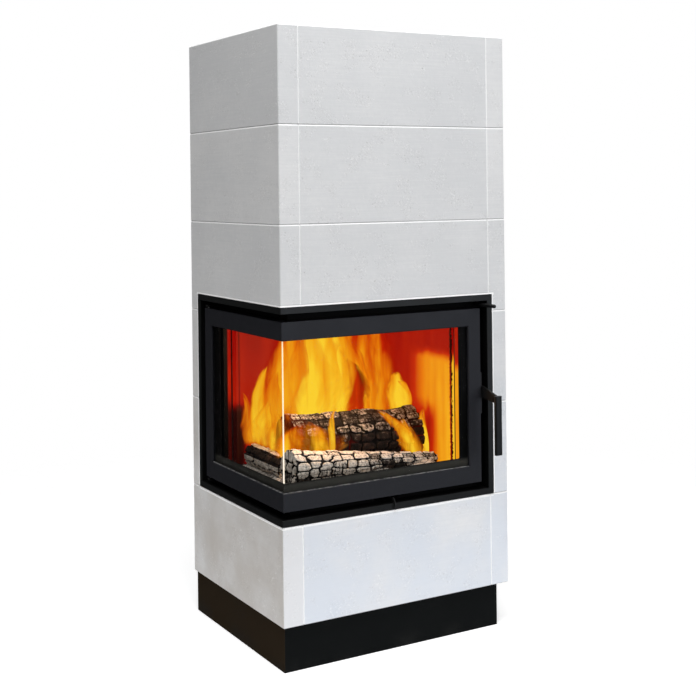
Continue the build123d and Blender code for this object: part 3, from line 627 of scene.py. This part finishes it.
# burnt wood: black checks, brown heart, grey ash where the blocks face up, embers in the checks
def charFinish():
    finish = Finish("charredWood", Specular_IOR_Level=0.25, Emission_Strength=1.0)
    check = finish.reading("check")
    ash = finish.reading("ash")
    ember = finish.reading("ember")
    fibre = finish.noise(140.0, detail=4, rough=0.65)
    flake = finish.noise(48.0, detail=5, rough=0.6, warp=0.6)
    veins = finish.between(finish.cells(120.0, "DISTANCE_TO_EDGE"), 0.06, 0.0)
    brown = finish.between(flake, 0.42, 0.7)
    char = finish.blendColour(brown * 0.8, (0.010, 0.0085, 0.008), (0.062, 0.036, 0.026))
    pale = finish.blendColour(finish.between(fibre, 0.3, 0.7), (0.52, 0.45, 0.38), (0.98, 0.90, 0.80))
    cover = finish.between(ash + (flake - 0.5) * 0.55 + (fibre - 0.5) * 0.25 - veins * 0.25, 0.30, 0.62)
    body = finish.blendColour(cover, char, pale)
    body = finish.blendColour(finish.between(check, 0.15, 0.60), body, (0.004, 0.0035, 0.0035))
    finish.give("Base Color", body)
    glowLevel = ember * finish.between(flake + fibre * 0.4, 0.35, 0.95)
    finish.glow(glowLevel)
    finish.roughen(fibre, 0.3, 0.7, 0.78, 0.95)
    finish.relief(fibre * 0.5 + flake * 0.8 - veins * 0.4, 0.0016, 0.8)
    return finish.material


# loose ash with embers in it
def ashFinish():
    finish = Finish("ashBed", Specular_IOR_Level=0.15, Emission_Strength=1.0)
    ember = finish.reading("ember")
    clump = finish.noise(60.0, detail=5, rough=0.65)
    fine = finish.noise(380.0, detail=3, rough=0.7)
    cracks = finish.between(finish.cells(58.0, "DISTANCE_TO_EDGE"), 0.07, 0.02)
    burnt = finish.between(clump * 0.6 + fine * 0.4, 0.35, 0.6)
    body = finish.blendColour(burnt, (0.12, 0.105, 0.09), (0.66, 0.60, 0.53))
    finish.colour(cracks * 0.9, body, (0.010, 0.009, 0.009))
    finish.glow(ember * finish.between(clump, 0.42, 0.66) * 0.5)
    finish.roughen(fine, 0.3, 0.7, 0.85, 1.0)
    finish.relief(clump + fine * 0.4, 0.0025, 0.8)
    return finish.material


# a flame: soft at its edges and tip, streaked along its rise; each tongue has its own heat and density
flameLook = {"foot": 0.10, "streaks": (24, 24, 3.4), "licks": (3.2, 2.6, 1), "body": 0.97}


def flameFinish():
    p = flameLook
    finish = Finish("flame", Base_Color=(0.0, 0.0, 0.0, 1), Roughness=1.0, Specular_IOR_Level=0.0,
                    Emission_Strength=1.0)
    across, up = finish.axes(finish.sheet)[:2]
    warmth = finish.reading("warmth")
    dense = finish.reading("dense")
    phase = finish.reading("phase")
    apart = finish.node("CombineXYZ", None, {0: phase, 1: phase * 3, 2: phase * 7})
    spread = finish.node("CombineXYZ", None, {0: across, 1: up, 2: phase * 11})
    streak = finish.noise(1.0, detail=3, rough=0.48, source=finish.stretched(p["streaks"], apart), warp=0.5)
    lick = finish.noise(1.0, detail=3, source=finish.stretched(p["licks"], source=spread), warp=0.9)
    side = ((across * 2 - 1) + (lick - 0.5) * 1.1).size()
    rise = up + (lick - 0.5) * 0.55
    body = finish.between(side, 1.0, 0.50)
    tip = finish.between(rise, 1.02, dense * 0.30 + 0.60)
    foot = finish.between(up, 0.0, p["foot"])
    thin = (1 - dense) * 0.10
    wisps = finish.between(streak - thin, 0.32, 0.58)
    alpha = body * tip * foot * (wisps * (1 - dense) + dense) * p["body"]
    core = finish.between(side, 0.95, 0.0)
    glowLevel = warmth + (core - 0.5) * 0.22 + (0.45 - up) * 0.26 + (streak - 0.5) * 0.85
    finish.glow(glowLevel)
    finish.give("Alpha", alpha)
    return finish.material


print("fire finishes are written")


def meshPiece(name, points, faces, material, body, smooth=True):
    # a finished piece from arrays of corners and faces, on a body, with one material
    mesh = bpy.data.meshes.new(name)
    mesh.from_pydata(points, [], faces)
    mesh.validate()
    mesh.polygons.foreach_set("use_smooth", np.full(len(mesh.polygons), smooth))
    mesh.materials.append(material)
    piece = bpy.data.objects.new(name, mesh)
    scene.collection.objects.link(piece)
    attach(piece, body)
    return piece


def gridFaces(rows, columns, wrap=False):
    # quads between neighbouring rows and columns of a grid; wrap joins the last column to the first
    row, column = np.meshgrid(np.arange(rows - 1), np.arange(columns - (0 if wrap else 1)), indexing="ij")
    beside = (column + 1) % columns
    quads = [row * columns + column, row * columns + beside,
             (row + 1) * columns + beside, (row + 1) * columns + column]
    return np.stack(quads, axis=-1).reshape(-1, 4)


def paint(piece, name, values):
    layer = piece.data.attributes.new(name, "FLOAT", "POINT")
    layer.data.foreach_set("value", np.asarray(values, dtype=np.float32).ravel())


def smoothStep(values, low, high):
    share = np.clip((values - low) / (high - low), 0, 1)
    return share * share * (3 - 2 * share)


def softNoise(u, v, cellsU, cellsV, seed, wrapV=False):
    # smooth random surface: random heights on a lattice, joined with the smoothstep curve
    heights = np.random.default_rng(seed).random((cellsU + 2, cellsV + 2))
    if wrapV:
        heights[:, cellsV] = heights[:, 0]
    x, y = u * cellsU, v * cellsV
    i = np.clip(np.floor(x).astype(int), 0, cellsU)
    j = np.clip(np.floor(y).astype(int), 0, cellsV)
    fx, fy = x - i, y - j
    fx, fy = fx * fx * (3 - 2 * fx), fy * fy * (3 - 2 * fy)
    low = heights[i, j] * (1 - fx) + heights[i + 1, j] * fx
    high = heights[i, j + 1] * (1 - fx) + heights[i + 1, j + 1] * fx
    return low * (1 - fy) + high * fy


def checks(u, v, cellsU, cellsV, seed):
    # distance to the nearest border between jittered cells, and a random number for each cell;
    # v wraps round
    source = np.random.default_rng(seed)
    jitter = source.random((cellsU + 4, cellsV, 2)) * (0.60, 0.44) + (0.20, 0.28)
    label = source.random((cellsU + 4, cellsV))
    x, y = u * cellsU, v * cellsV
    column, row = np.floor(x).astype(int), np.floor(y).astype(int)
    nearest = np.full(x.shape, 9.0)
    second = np.full(x.shape, 9.0)
    owner = np.zeros(x.shape)
    for stepU in (-1, 0, 1):
        for stepV in (-1, 0, 1):
            i, j = column + stepU, row + stepV
            seedI, seedJ = np.clip(i + 1, 0, cellsU + 3), j % cellsV
            awayU = np.abs(x - i - jitter[seedI, seedJ, 0])
            awayV = np.abs(y - j - jitter[seedI, seedJ, 1])
            away = np.maximum(awayU, awayV)
            closer = away < nearest
            second = np.where(closer, nearest, np.minimum(second, away))
            owner = np.where(closer, label[seedI, seedJ], owner)
            nearest = np.where(closer, away, nearest)
    return second - nearest, owner


def layFloor():
    # a pale disc: rings from the middle out, whose paint turns clear towards the rim
    spokes = studio["floorSpokes"]
    radii = np.linspace(0, studio["floorRadius"], studio["floorRings"])[1:]
    turn = np.arange(spokes) / spokes * 2 * np.pi
    rim = np.stack([np.outer(radii, np.cos(turn)), np.outer(radii, np.sin(turn))], -1).reshape(-1, 2)
    points = np.zeros((len(rim) + 1, 3))
    points[1:, :2] = rim
    points[:, 2] = -studio["floorDrop"]
    faces = [(0, 1 + index, 1 + (index + 1) % spokes) for index in range(spokes)]
    faces += (gridFaces(len(radii), spokes, wrap=True) + 1).tolist()
    mesh = bpy.data.meshes.new("floor")
    mesh.from_pydata(points, [], faces)
    floor = bpy.data.objects.new("floor", mesh)
    scene.collection.objects.link(floor)
    finish = Finish("floorPaint", Base_Color=studio["floorColour"], Roughness=0.8, Specular_IOR_Level=0.1,
                    Emission_Color=(1, 1, 1, 1), Emission_Strength=studio["floorGlow"])
    distance = finish.node("VectorMath", {"operation": "LENGTH"}, {0: finish.place}, output="Value")
    finish.give("Alpha", finish.between(distance, studio["floorRadius"] * 0.96, studio["floorClear"]))
    mesh.materials.append(finish.material)
    floor.visible_glossy = False


makeCamera()
makeStudio()
layFloor()
print("camera and studio are up")


# burnt logs; shares are of the log's radius, sizes are metres
logLook = {
    "rings": 280,
    "around": 220,
    "capRings": 30,
    "fine": 0.0012,
    "bend": 0.08,
    "swell": 0.13,
    "ripple": 0.003,
    "lift": 0.0035,
    "clear": 0.0015,    # above the hearth
    "inset": 0.004,     # of each end from its solid's
}
logs = {
    "frontLog": {"node": "log_front", "seed": 11, "farRadius": 0.020, "block": (0.038, 0.027),
                 "deep": 0.0046, "ash": 1.25, "vary": 1.0, "fade": 0.66, "capAsh": 1.2, "ember": 0.0},
    "rearLog": {"node": "log_rear", "seed": 23, "farRadius": 0.078, "block": (0.040, 0.031),
                "deep": 0.0064, "ash": 0.39, "vary": 0.45, "fade": 0.0, "capAsh": 0.6, "ember": 0.34},
    "leftLog": {"node": "log_left", "seed": 37, "farRadius": 0.034, "block": (0.030, 0.022),
                "deep": 0.0055, "ash": 1.10, "vary": 0.5, "fade": 0.0, "capAsh": 0.8, "ember": 0.0},
}


def burntLog(name, start, end, radius, endRadius, material):
    # a ring carried from start to end: its radius runs from one end's to the other's, swells and
    # dips with slow noise, and drops where the charred blocks part; rings to the axis close the ends
    look, own = logLook, logs[name]
    seed = own["seed"]
    start, end = np.array(start), np.array(end)
    length = np.linalg.norm(end - start)
    ahead = (end - start) / length
    side = np.cross(ahead, (0, 0, 1.0))
    side /= np.linalg.norm(side)
    up = np.cross(side, ahead)
    rings, around = look["rings"], look["around"]
    u, v = np.meshgrid(np.linspace(0, 1, rings), np.arange(around) / around, indexing="ij")
    turn = 2 * np.pi * v
    base = radius + (endRadius - radius) * u
    lumps = softNoise(u, v, 5, 4, seed, wrapV=True) - 0.5
    ripples = softNoise(u, v, 34, 16, seed + 1, wrapV=True) - 0.5
    shiftU = u + (softNoise(u, v, 12, 8, seed + 2, wrapV=True) - 0.5) * 0.03
    blocksLong = max(4, int(length / own["block"][0]))
    blocksRound = max(6, int(2 * np.pi * radius / own["block"][1]))
    border, label = checks(shiftU, v, blocksLong, blocksRound, seed + 3)
    smallBorder = checks(shiftU, v, blocksLong * 3, blocksRound * 2, seed + 4)[0]
    crack = 1 - smoothStep(border, 0.05, 0.14 + 0.08 * label)
    smallCrack = 1 - smoothStep(smallBorder, 0.02, 0.16)
    lift = (label - 0.5) * look["lift"]
    reach = base * (1 + look["swell"] * lumps) + ripples * look["ripple"] + lift
    reach -= own["deep"] * crack + look["fine"] * smallCrack
    caps = look["capRings"]
    shrink = np.linspace(0, 1, caps + 1)[1:-1, None]
    capTurn = np.repeat(turn[:1], caps - 1, 0)
    capU, capV = 0.5 + 0.49 * shrink * np.cos(capTurn), 0.5 + 0.49 * shrink * np.sin(capTurn)
    blocksAcross = max(3, int(2 * radius / own["block"][1]))
    capBorder, capLabel = checks(capU, capV, blocksAcross, blocksAcross, seed + 8)
    capCrack = 1 - smoothStep(capBorder, 0.06, 0.20)
    dent = (softNoise(capU, capV, 8, 8, seed + 5) - 0.5) * 0.005 + capCrack * own["deep"] * 0.8
    firstReach, lastReach = reach[:1] * shrink, reach[-1:] * shrink[::-1]
    reach = np.concatenate([firstReach, reach, lastReach])
    along = np.concatenate([dent, u * length, length - dent[::-1]])
    turn = np.concatenate([turn[:caps - 1], turn, turn[:caps - 1]])
    sag = look["bend"] * radius * (softNoise(along / length, along * 0, 3, 1, seed + 6) - 0.5)[..., None]
    points = start + along[..., None] * ahead + sag * side
    points = points + reach[..., None] * (np.cos(turn)[..., None] * side + np.sin(turn)[..., None] * up)
    floor = hearthHigh[2] + look["clear"]
    points[..., 2] = np.maximum(points[..., 2], floor)
    total = points.shape[0]
    flat = points.reshape(-1, 3)
    poles = np.stack([flat[:around].mean(0), flat[-around:].mean(0)])
    faces = gridFaces(total, around, wrap=True)[:, ::-1].tolist()
    ring = np.arange(around)
    beside = (ring + 1) % around
    firstPole, lastPole = total * around, total * around + 1
    last = (total - 1) * around
    faces += np.stack([np.full(around, firstPole), ring, beside], 1)[:, ::-1].tolist()
    faces += np.stack([np.full(around, lastPole), last + beside, last + ring], 1)[:, ::-1].tolist()
    piece = meshPiece(name, np.concatenate([flat, poles]), faces, material, "stove")

    def capped(grid, end):
        # the side's values between those of the two ends
        end = end + np.zeros((caps - 1, around))
        return np.concatenate([end, grid, end[::-1]])

    facing = np.sin(turn)
    upward = 0.45 + 0.55 * smoothStep(facing, -0.6, 0.7)
    if name == "leftLog":
        upward = 1 - smoothStep(facing, 0.05, 0.30) * (1 - smoothStep(facing, 0.90, 0.98))
    faded = np.concatenate([np.zeros((caps - 1, around)), u, np.ones((caps - 1, around))])
    uneven = 1 + own["vary"] * (capped(label, capLabel) - 0.5)
    # painted shade: a log with fade set has less ash towards its far end, which is darker
    ash = own["ash"] * upward * uneven * (1 - own["fade"] * faded)
    ash = ash * capped(1 - 0.35 * smallCrack, own["capAsh"])
    cracks = capped(np.maximum(crack, smallCrack * 0.45), capCrack)
    patches = smoothStep(softNoise(u, v, 7, 5, seed + 7, wrapV=True), 0.45, 0.75)
    ember = own["ember"] * capped(crack * patches, 0.4) * smoothStep(-facing, -0.9, 0.8)
    paint(piece, "check", np.append(cracks.ravel(), (0.3, 0.3)))
    paint(piece, "ash", np.append(ash.ravel(), (0.1, 0.1)))
    paint(piece, "ember", np.append(ember.ravel(), (0.3, 0.3)))
    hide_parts(own["node"])


def layLogs():
    # each log lies where its solid does: near radius from the solid's size, far radius its own
    char = charFinish()
    inset = logLook["inset"]
    for name, own in logs.items():
        low, high = boxOf(own["node"])
        size = high - low
        far = own["farRadius"]
        if name == "leftLog":
            start = (low[0] + far, low[1] + inset, high[2] - far)
            burntLog(name, start, (start[0], high[1] - inset, start[2]), far, far, char)
            continue
        near = (size[2] + inset) / 2
        farY = high[1] - near if name == "frontLog" else low[1] + far
        burntLog(name, (low[0] + 2 * inset, high[1] - near, high[2] - near),
                 (high[0] - 2 * inset, farY, hearthHigh[2] + far - inset), near, far, char)


layLogs()
print("logs are laid")


# ash on the hearth, heaped round the logs
ashLook = {"rows": 150, "columns": 190, "thin": 0.004, "heap": 0.020, "inset": 0.003}


def layAsh():
    # a height field over the hearth: thin at the rim, heaped where slow noise is high; its skirt
    # goes down to the hearth
    look = ashLook
    rows, columns = look["rows"], look["columns"]
    u, v = np.meshgrid(np.linspace(0, 1, rows), np.linspace(0, 1, columns), indexing="ij")
    inset = look["inset"]
    x = hearthLow[0] + inset + v * (sideLow[0] - hearthLow[0] - 2 * inset)
    y = hearthLow[1] + inset + u * (backLow[1] - hearthLow[1] - 2 * inset)
    rim = smoothStep(np.minimum(np.minimum(u, 1 - u), np.minimum(v, 1 - v)), 0.0, 0.10)
    heap = smoothStep(softNoise(u, v, 5, 7, 51), 0.25, 0.85)
    lumps = softNoise(u, v, 26, 36, 52) * 0.5 + softNoise(u, v, 60, 80, 53) * 0.25
    z = hearthHigh[2] + 0.0006 + rim * (look["thin"] + look["heap"] * (heap * 0.7 + lumps * 0.5))
    top = np.stack([x, y, z], -1).reshape(-1, 3)
    low = top.copy()
    low[:, 2] = hearthHigh[2] + 0.0002
    grid = np.arange(rows * columns).reshape(rows, columns)
    border = np.concatenate([grid[0], grid[1:, -1], grid[-1, -2::-1], grid[-2:0:-1, 0]])
    beside = np.roll(border, -1)
    count = rows * columns
    skirt = np.stack([border + count, beside + count, beside, border], 1)
    cover = gridFaces(rows, columns)
    faces = np.concatenate([cover, cover[:, ::-1] + count, skirt]).tolist()
    piece = meshPiece("ashBed", np.concatenate([top, low]), faces, ashFinish(), "stove")
    ember = smoothStep(softNoise(u, v, 22, 30, 54), 0.45, 0.8)
    ember = ember * smoothStep(u, 0.15, 0.5) * smoothStep(v, 0.25, 0.5)
    paint(piece, "ember", np.concatenate([ember.ravel(), ember.ravel() * 0]))


layAsh()
print("ash is spread")


# tongues of flame. Metres from the hearth's front left corner: across, in, foot above the hearth, then
# height, width, how far the tip goes right and forward; then warmth and density as shares
flames = {
    "rearFlames": [
        (0.132, 0.334, 0.095, 0.320, 0.120, 0.034, 0.02, 0.66, 0.85),
        (0.194, 0.340, 0.095, 0.335, 0.176, 0.012, 0.02, 0.86, 0.92),
        (0.240, 0.334, 0.095, 0.335, 0.190, 0.006, 0.03, 0.88, 0.95),
        (0.300, 0.328, 0.095, 0.335, 0.130, 0.010, 0.03, 0.86, 0.90),
        (0.352, 0.337, 0.095, 0.335, 0.120, 0.004, 0.03, 0.70, 0.90),
        (0.408, 0.342, 0.095, 0.335, 0.120, 0.004, 0.03, 0.54, 0.90),
        (0.462, 0.337, 0.095, 0.330, 0.130, 0.000, 0.03, 0.55, 0.90),
    ],
    "middleFlames": [
        (0.369, 0.318, 0.100, 0.200, 0.092, 0.004, 0.00, 0.32, 0.98),
        (0.322, 0.308, 0.110, 0.215, 0.050, 0.014, 0.00, 0.84, 0.60),
        (0.414, 0.310, 0.110, 0.225, 0.044, -0.026, 0.00, 0.60, 0.60),
        (0.512, 0.240, 0.110, 0.145, 0.086, -0.026, 0.00, 0.80, 0.85),
        (0.536, 0.230, 0.108, 0.122, 0.100, -0.036, 0.00, 0.74, 0.85),
        (0.046, 0.325, 0.070, 0.230, 0.052, 0.024, 0.00, 0.73, 0.85),
        (0.088, 0.325, 0.080, 0.200, 0.070, 0.020, 0.00, 0.66, 0.55),
        (0.030, 0.350, 0.060, 0.160, 0.034, -0.018, 0.00, 0.62, 0.60),
        (0.052, 0.350, 0.060, 0.120, 0.050, 0.006, 0.00, 0.72, 0.40),
        (0.056, 0.290, 0.058, 0.140, 0.060, 0.002, 0.00, 0.76, 0.35),
        (0.060, 0.225, 0.058, 0.120, 0.050, 0.004, 0.00, 0.72, 0.30),
    ],
    "lowFlames": [
        (0.108, 0.130, 0.050, 0.108, 0.190, 0.010, 0.00, 0.66, 0.32),
        (0.052, 0.140, 0.055, 0.100, 0.080, 0.030, 0.00, 0.60, 0.30),
        (0.070, 0.145, 0.050, 0.160, 0.130, 0.000, 0.00, 0.44, 0.10),
        (0.190, 0.126, 0.052, 0.140, 0.020, 0.012, 0.00, 0.80, 0.65),
        (0.462, 0.094, 0.018, 0.150, 0.064, -0.112, 0.00, 0.68, 0.45),
        (0.440, 0.097, 0.060, 0.080, 0.050, -0.030, 0.00, 0.70, 0.35),
        (0.524, 0.124, 0.010, 0.150, 0.036, -0.020, 0.00, 0.76, 0.60),
    ],
}
flameShape = {"across": 14, "up": 34, "facing": -28.0, "spread": 12.0, "bow": 0.20, "sway": 0.010,
              "tall": 0.30, "taper": 0.75, "tallTaper": 0.05, "room": 0.004}
fireLamp = {"watts": 5.8, "colour": (1.0, 0.62, 0.34), "size": 0.08, "place": (0.14, 0.09, 0.34)}


def raiseFlames(name, material):
    # each tongue is a sheet whose middle line rises quickly, then rolls forward as it slows; its
    # half width grows from the foot and shrinks to the tip, and it bows out in plan
    look = flameShape
    source = np.random.default_rng(len(name) * 7)
    across, up = np.meshgrid(np.linspace(-1, 1, look["across"]), np.linspace(0, 1, look["up"]))
    points, faces, sheet, own = [], [], [], []
    for x, y, foot, height, width, lean, roll, warmth, dense in flames[name]:
        turn = math.radians(look["facing"] + source.uniform(-1, 1) * look["spread"])
        phase = source.uniform(0, 2 * math.pi)
        taper = look["taper"] if height < look["tall"] else look["tallTaper"]
        swell = 0.60 + 0.40 * np.sin(np.pi * np.clip(up * 1.25 + 0.08, 0, 1))
        half = width / 2 * swell * (1 - taper * up ** 4)
        sway = look["sway"] * np.sin(phase + up * 5.0) * up
        aside = across * half * 1.25 + lean * up ** 1.2 + sway
        out = -look["bow"] * half * (1 - across ** 2) + 0.005 * np.sin(phase + up * 7 + across * 2)
        px = hearthLow[0] + x + aside * math.cos(turn) - out * math.sin(turn)
        py = hearthLow[1] + y + aside * math.sin(turn) + out * math.cos(turn) - roll * up ** 4
        pz = hearthHigh[2] + foot + height * (1 - (1 - up) ** 1.3)
        room = look["room"]
        px = np.clip(px, hearthLow[0] + room, sideLow[0] - room)
        py = np.clip(py, hearthLow[1] + room, backLow[1] - room)
        faces.append(gridFaces(look["up"], look["across"]) + len(points) * across.size)
        points.append(np.stack([px, py, pz], -1).reshape(-1, 3))
        sheet.append(np.stack([(across + 1) / 2, up], -1).reshape(-1, 2))
        own.append(np.tile((warmth, dense, phase), (across.size, 1)))
    faces = np.concatenate(faces)
    piece = meshPiece(name, np.concatenate(points), faces.tolist(), material, "stove")
    layer = piece.data.uv_layers.new(name="flameSheet")
    corners = np.empty(len(piece.data.loops), dtype=np.int64)
    piece.data.loops.foreach_get("vertex_index", corners)
    layer.data.foreach_set("uv", np.concatenate(sheet)[corners].astype(np.float32).ravel())
    for share, values in zip(("warmth", "dense", "phase"), np.concatenate(own).T):
        paint(piece, share, values)
    piece.visible_shadow = False


def lightFire():
    material = flameFinish()
    for name in flames:
        raiseFlames(name, material)
    x, y, z = fireLamp["place"]
    place = (hearthLow[0] + x, hearthLow[1] + y, hearthHigh[2] + z)
    lamp = hangLamp("fireLamp", "POINT", fireLamp["watts"], fireLamp["colour"], place)
    lamp.data.shadow_soft_size = fireLamp["size"]


lightFire()
print("fire is lit")


# ceramic print on the inside of the panes: along the bottom, at the handle side and at the hinge side
printLook = {"thickness": 0.0002, "gap": 0.0001, "bottom": 0.024, "handleSide": 0.030, "hingeSide": 0.038,
             "lap": 0.010, "corner": 0.004, "inset": 0.002}


def printedEdge(name, origin, along, inward, span, low, high, stripe):
    # an L of print: a stripe along the bottom and one up the far side, with a rounded inner corner,
    # swept through its thickness
    look = printLook
    arc = np.linspace(0, np.pi / 2, 9)
    radius = look["corner"]
    top = low + look["lap"] + look["bottom"]
    centre = np.array([span - stripe - radius, top + radius])
    bend = centre + radius * np.stack([np.sin(arc), -np.cos(arc)], 1)
    outer = [[0, low], [span, low], [span, high], [span - stripe, high]]
    outline = np.concatenate([outer, bend[::-1], [[0, top]]])
    flat = np.array(origin) + outline[:, :1] * np.array(along) + outline[:, 1:] * np.array([0, 0, 1.0])
    flat[:, 2] = outline[:, 1]
    near = flat + np.array(inward) * look["gap"]
    far = flat + np.array(inward) * (look["gap"] + look["thickness"])
    count = len(outline)
    ring = np.arange(count)
    beside = (ring + 1) % count
    faces = [list(range(count)), list(range(2 * count - 1, count - 1, -1))]
    faces += np.stack([ring, ring + count, beside + count, beside], 1).tolist()
    points = np.concatenate([near, far])
    piece = meshPiece(name, points, faces, printFinish(), "door", False)
    tidyNormals(piece)


def tidyNormals(piece):
    # makes the faces of a closed piece point outwards
    shape = bmesh.new()
    shape.from_mesh(piece.data)
    bmesh.ops.recalc_face_normals(shape, faces=shape.faces)
    shape.to_mesh(piece.data)
    shape.free()


def printPanes():
    look = printLook
    low, high = frontGlassLow[2], frontGlassHigh[2]
    inset = look["inset"]
    front = frontGlassHigh[0] - frontGlassLow[0] - inset
    printedEdge("frontPrint", (frontGlassLow[0], frontGlassHigh[1], 0), (1, 0, 0), (0, 1, 0), front,
                low + inset, high - inset, look["handleSide"] + look["lap"])
    side = sideGlassHigh[1] - sideGlassLow[1] - inset
    printedEdge("sidePrint", (sideGlassHigh[0], sideGlassLow[1], 0), (0, 1, 0), (1, 0, 0), side,
                low + inset, high - inset, look["hingeSide"] + look["lap"])


# ground and polished edge where the two panes meet
edgeLook = {"wrap": 0.0012, "depth": 0.0058, "proud": 0.00025, "rows": 60, "bottom": 0.038, "top": 0.0125}


def cornerEdge():
    # a profile in plan that turns round the arris on a quarter circle, carried up the corner
    look = edgeLook
    radius = look["wrap"]
    x0, y0 = frontGlassLow[0] - look["proud"], frontGlassLow[1] - look["proud"]
    arc = np.linspace(0, np.pi / 2, 7)
    turn = np.stack([x0 + radius - radius * np.sin(arc), y0 + radius - radius * np.cos(arc)], 1)
    skin = look["proud"] * 0.8
    outline = np.concatenate([turn, [[x0, y0 + look["depth"]], [x0 + skin, y0 + look["depth"]],
                                     [x0 + skin, y0 + skin], [x0 + radius, y0 + skin]]])
    count = len(outline)
    z = np.linspace(frontGlassLow[2] + look["bottom"], frontGlassHigh[2] - look["top"], look["rows"])
    points = np.empty((look["rows"], count, 3))
    points[..., :2] = outline
    points[..., 2] = z[:, None]
    faces = gridFaces(look["rows"], count, wrap=True).tolist()
    total = look["rows"] * count
    faces += [list(range(count)), list(range(total - 1, total - count - 1, -1))]
    piece = meshPiece("glassCornerEdge", points.reshape(-1, 3), faces, groundEdgeFinish(),
                      "door", False)
    tidyNormals(piece)


printPanes()
cornerEdge()
print("panes are printed")


def dressNodes():
    # every kept CAD node gets its finish
    tiles = [name for name in nodes if name.startswith(("tile_", "rear_panel"))]
    dress(plasterFinish(), "top_cover", *tiles)
    dress(plinthFinish(), "plinth_front_board", "plinth_rear_board", "plinth_side_boards")
    dress(coatFinish("trimBlack"), "trim_frame")
    dress(surroundFinish(), "door_surround")
    dress(coatFinish("doorAnthracite"), "door_frame", "glass_retainers")
    dress(coatFinish("handleBlack"), "handle_bracket", "handle_arm", "handle_grip", "air_lever", "damper_rod",
          "latch_keeper", "hinge_brackets")
    dress(paneFinish(), "glass_front", "glass_side")
    dress(ropeFinish(), "door_gasket")
    dress(steelFinish("boilerSteel"), "firebox_shell", "air_box", "air_slide", "air_spigot", "insert_legs",
          "flue_collar", "flue_pipe", "damper_flap", "bypass_shelf", "rod_guide", "ash_pan", "cover_brackets")
    dress(steelFinish("brightSteel"), "hinge_pins", "handle_pin", "damper_shaft")
    dress(chamotteFinish(), "hearth_bricks", "back_bricks", "side_bricks", "baffle_plate")
    dress(grateFinish(), "fire_grate")
    dress(blockFinish(), "foundation_slab")


dressNodes()
print("CAD nodes are dressed")
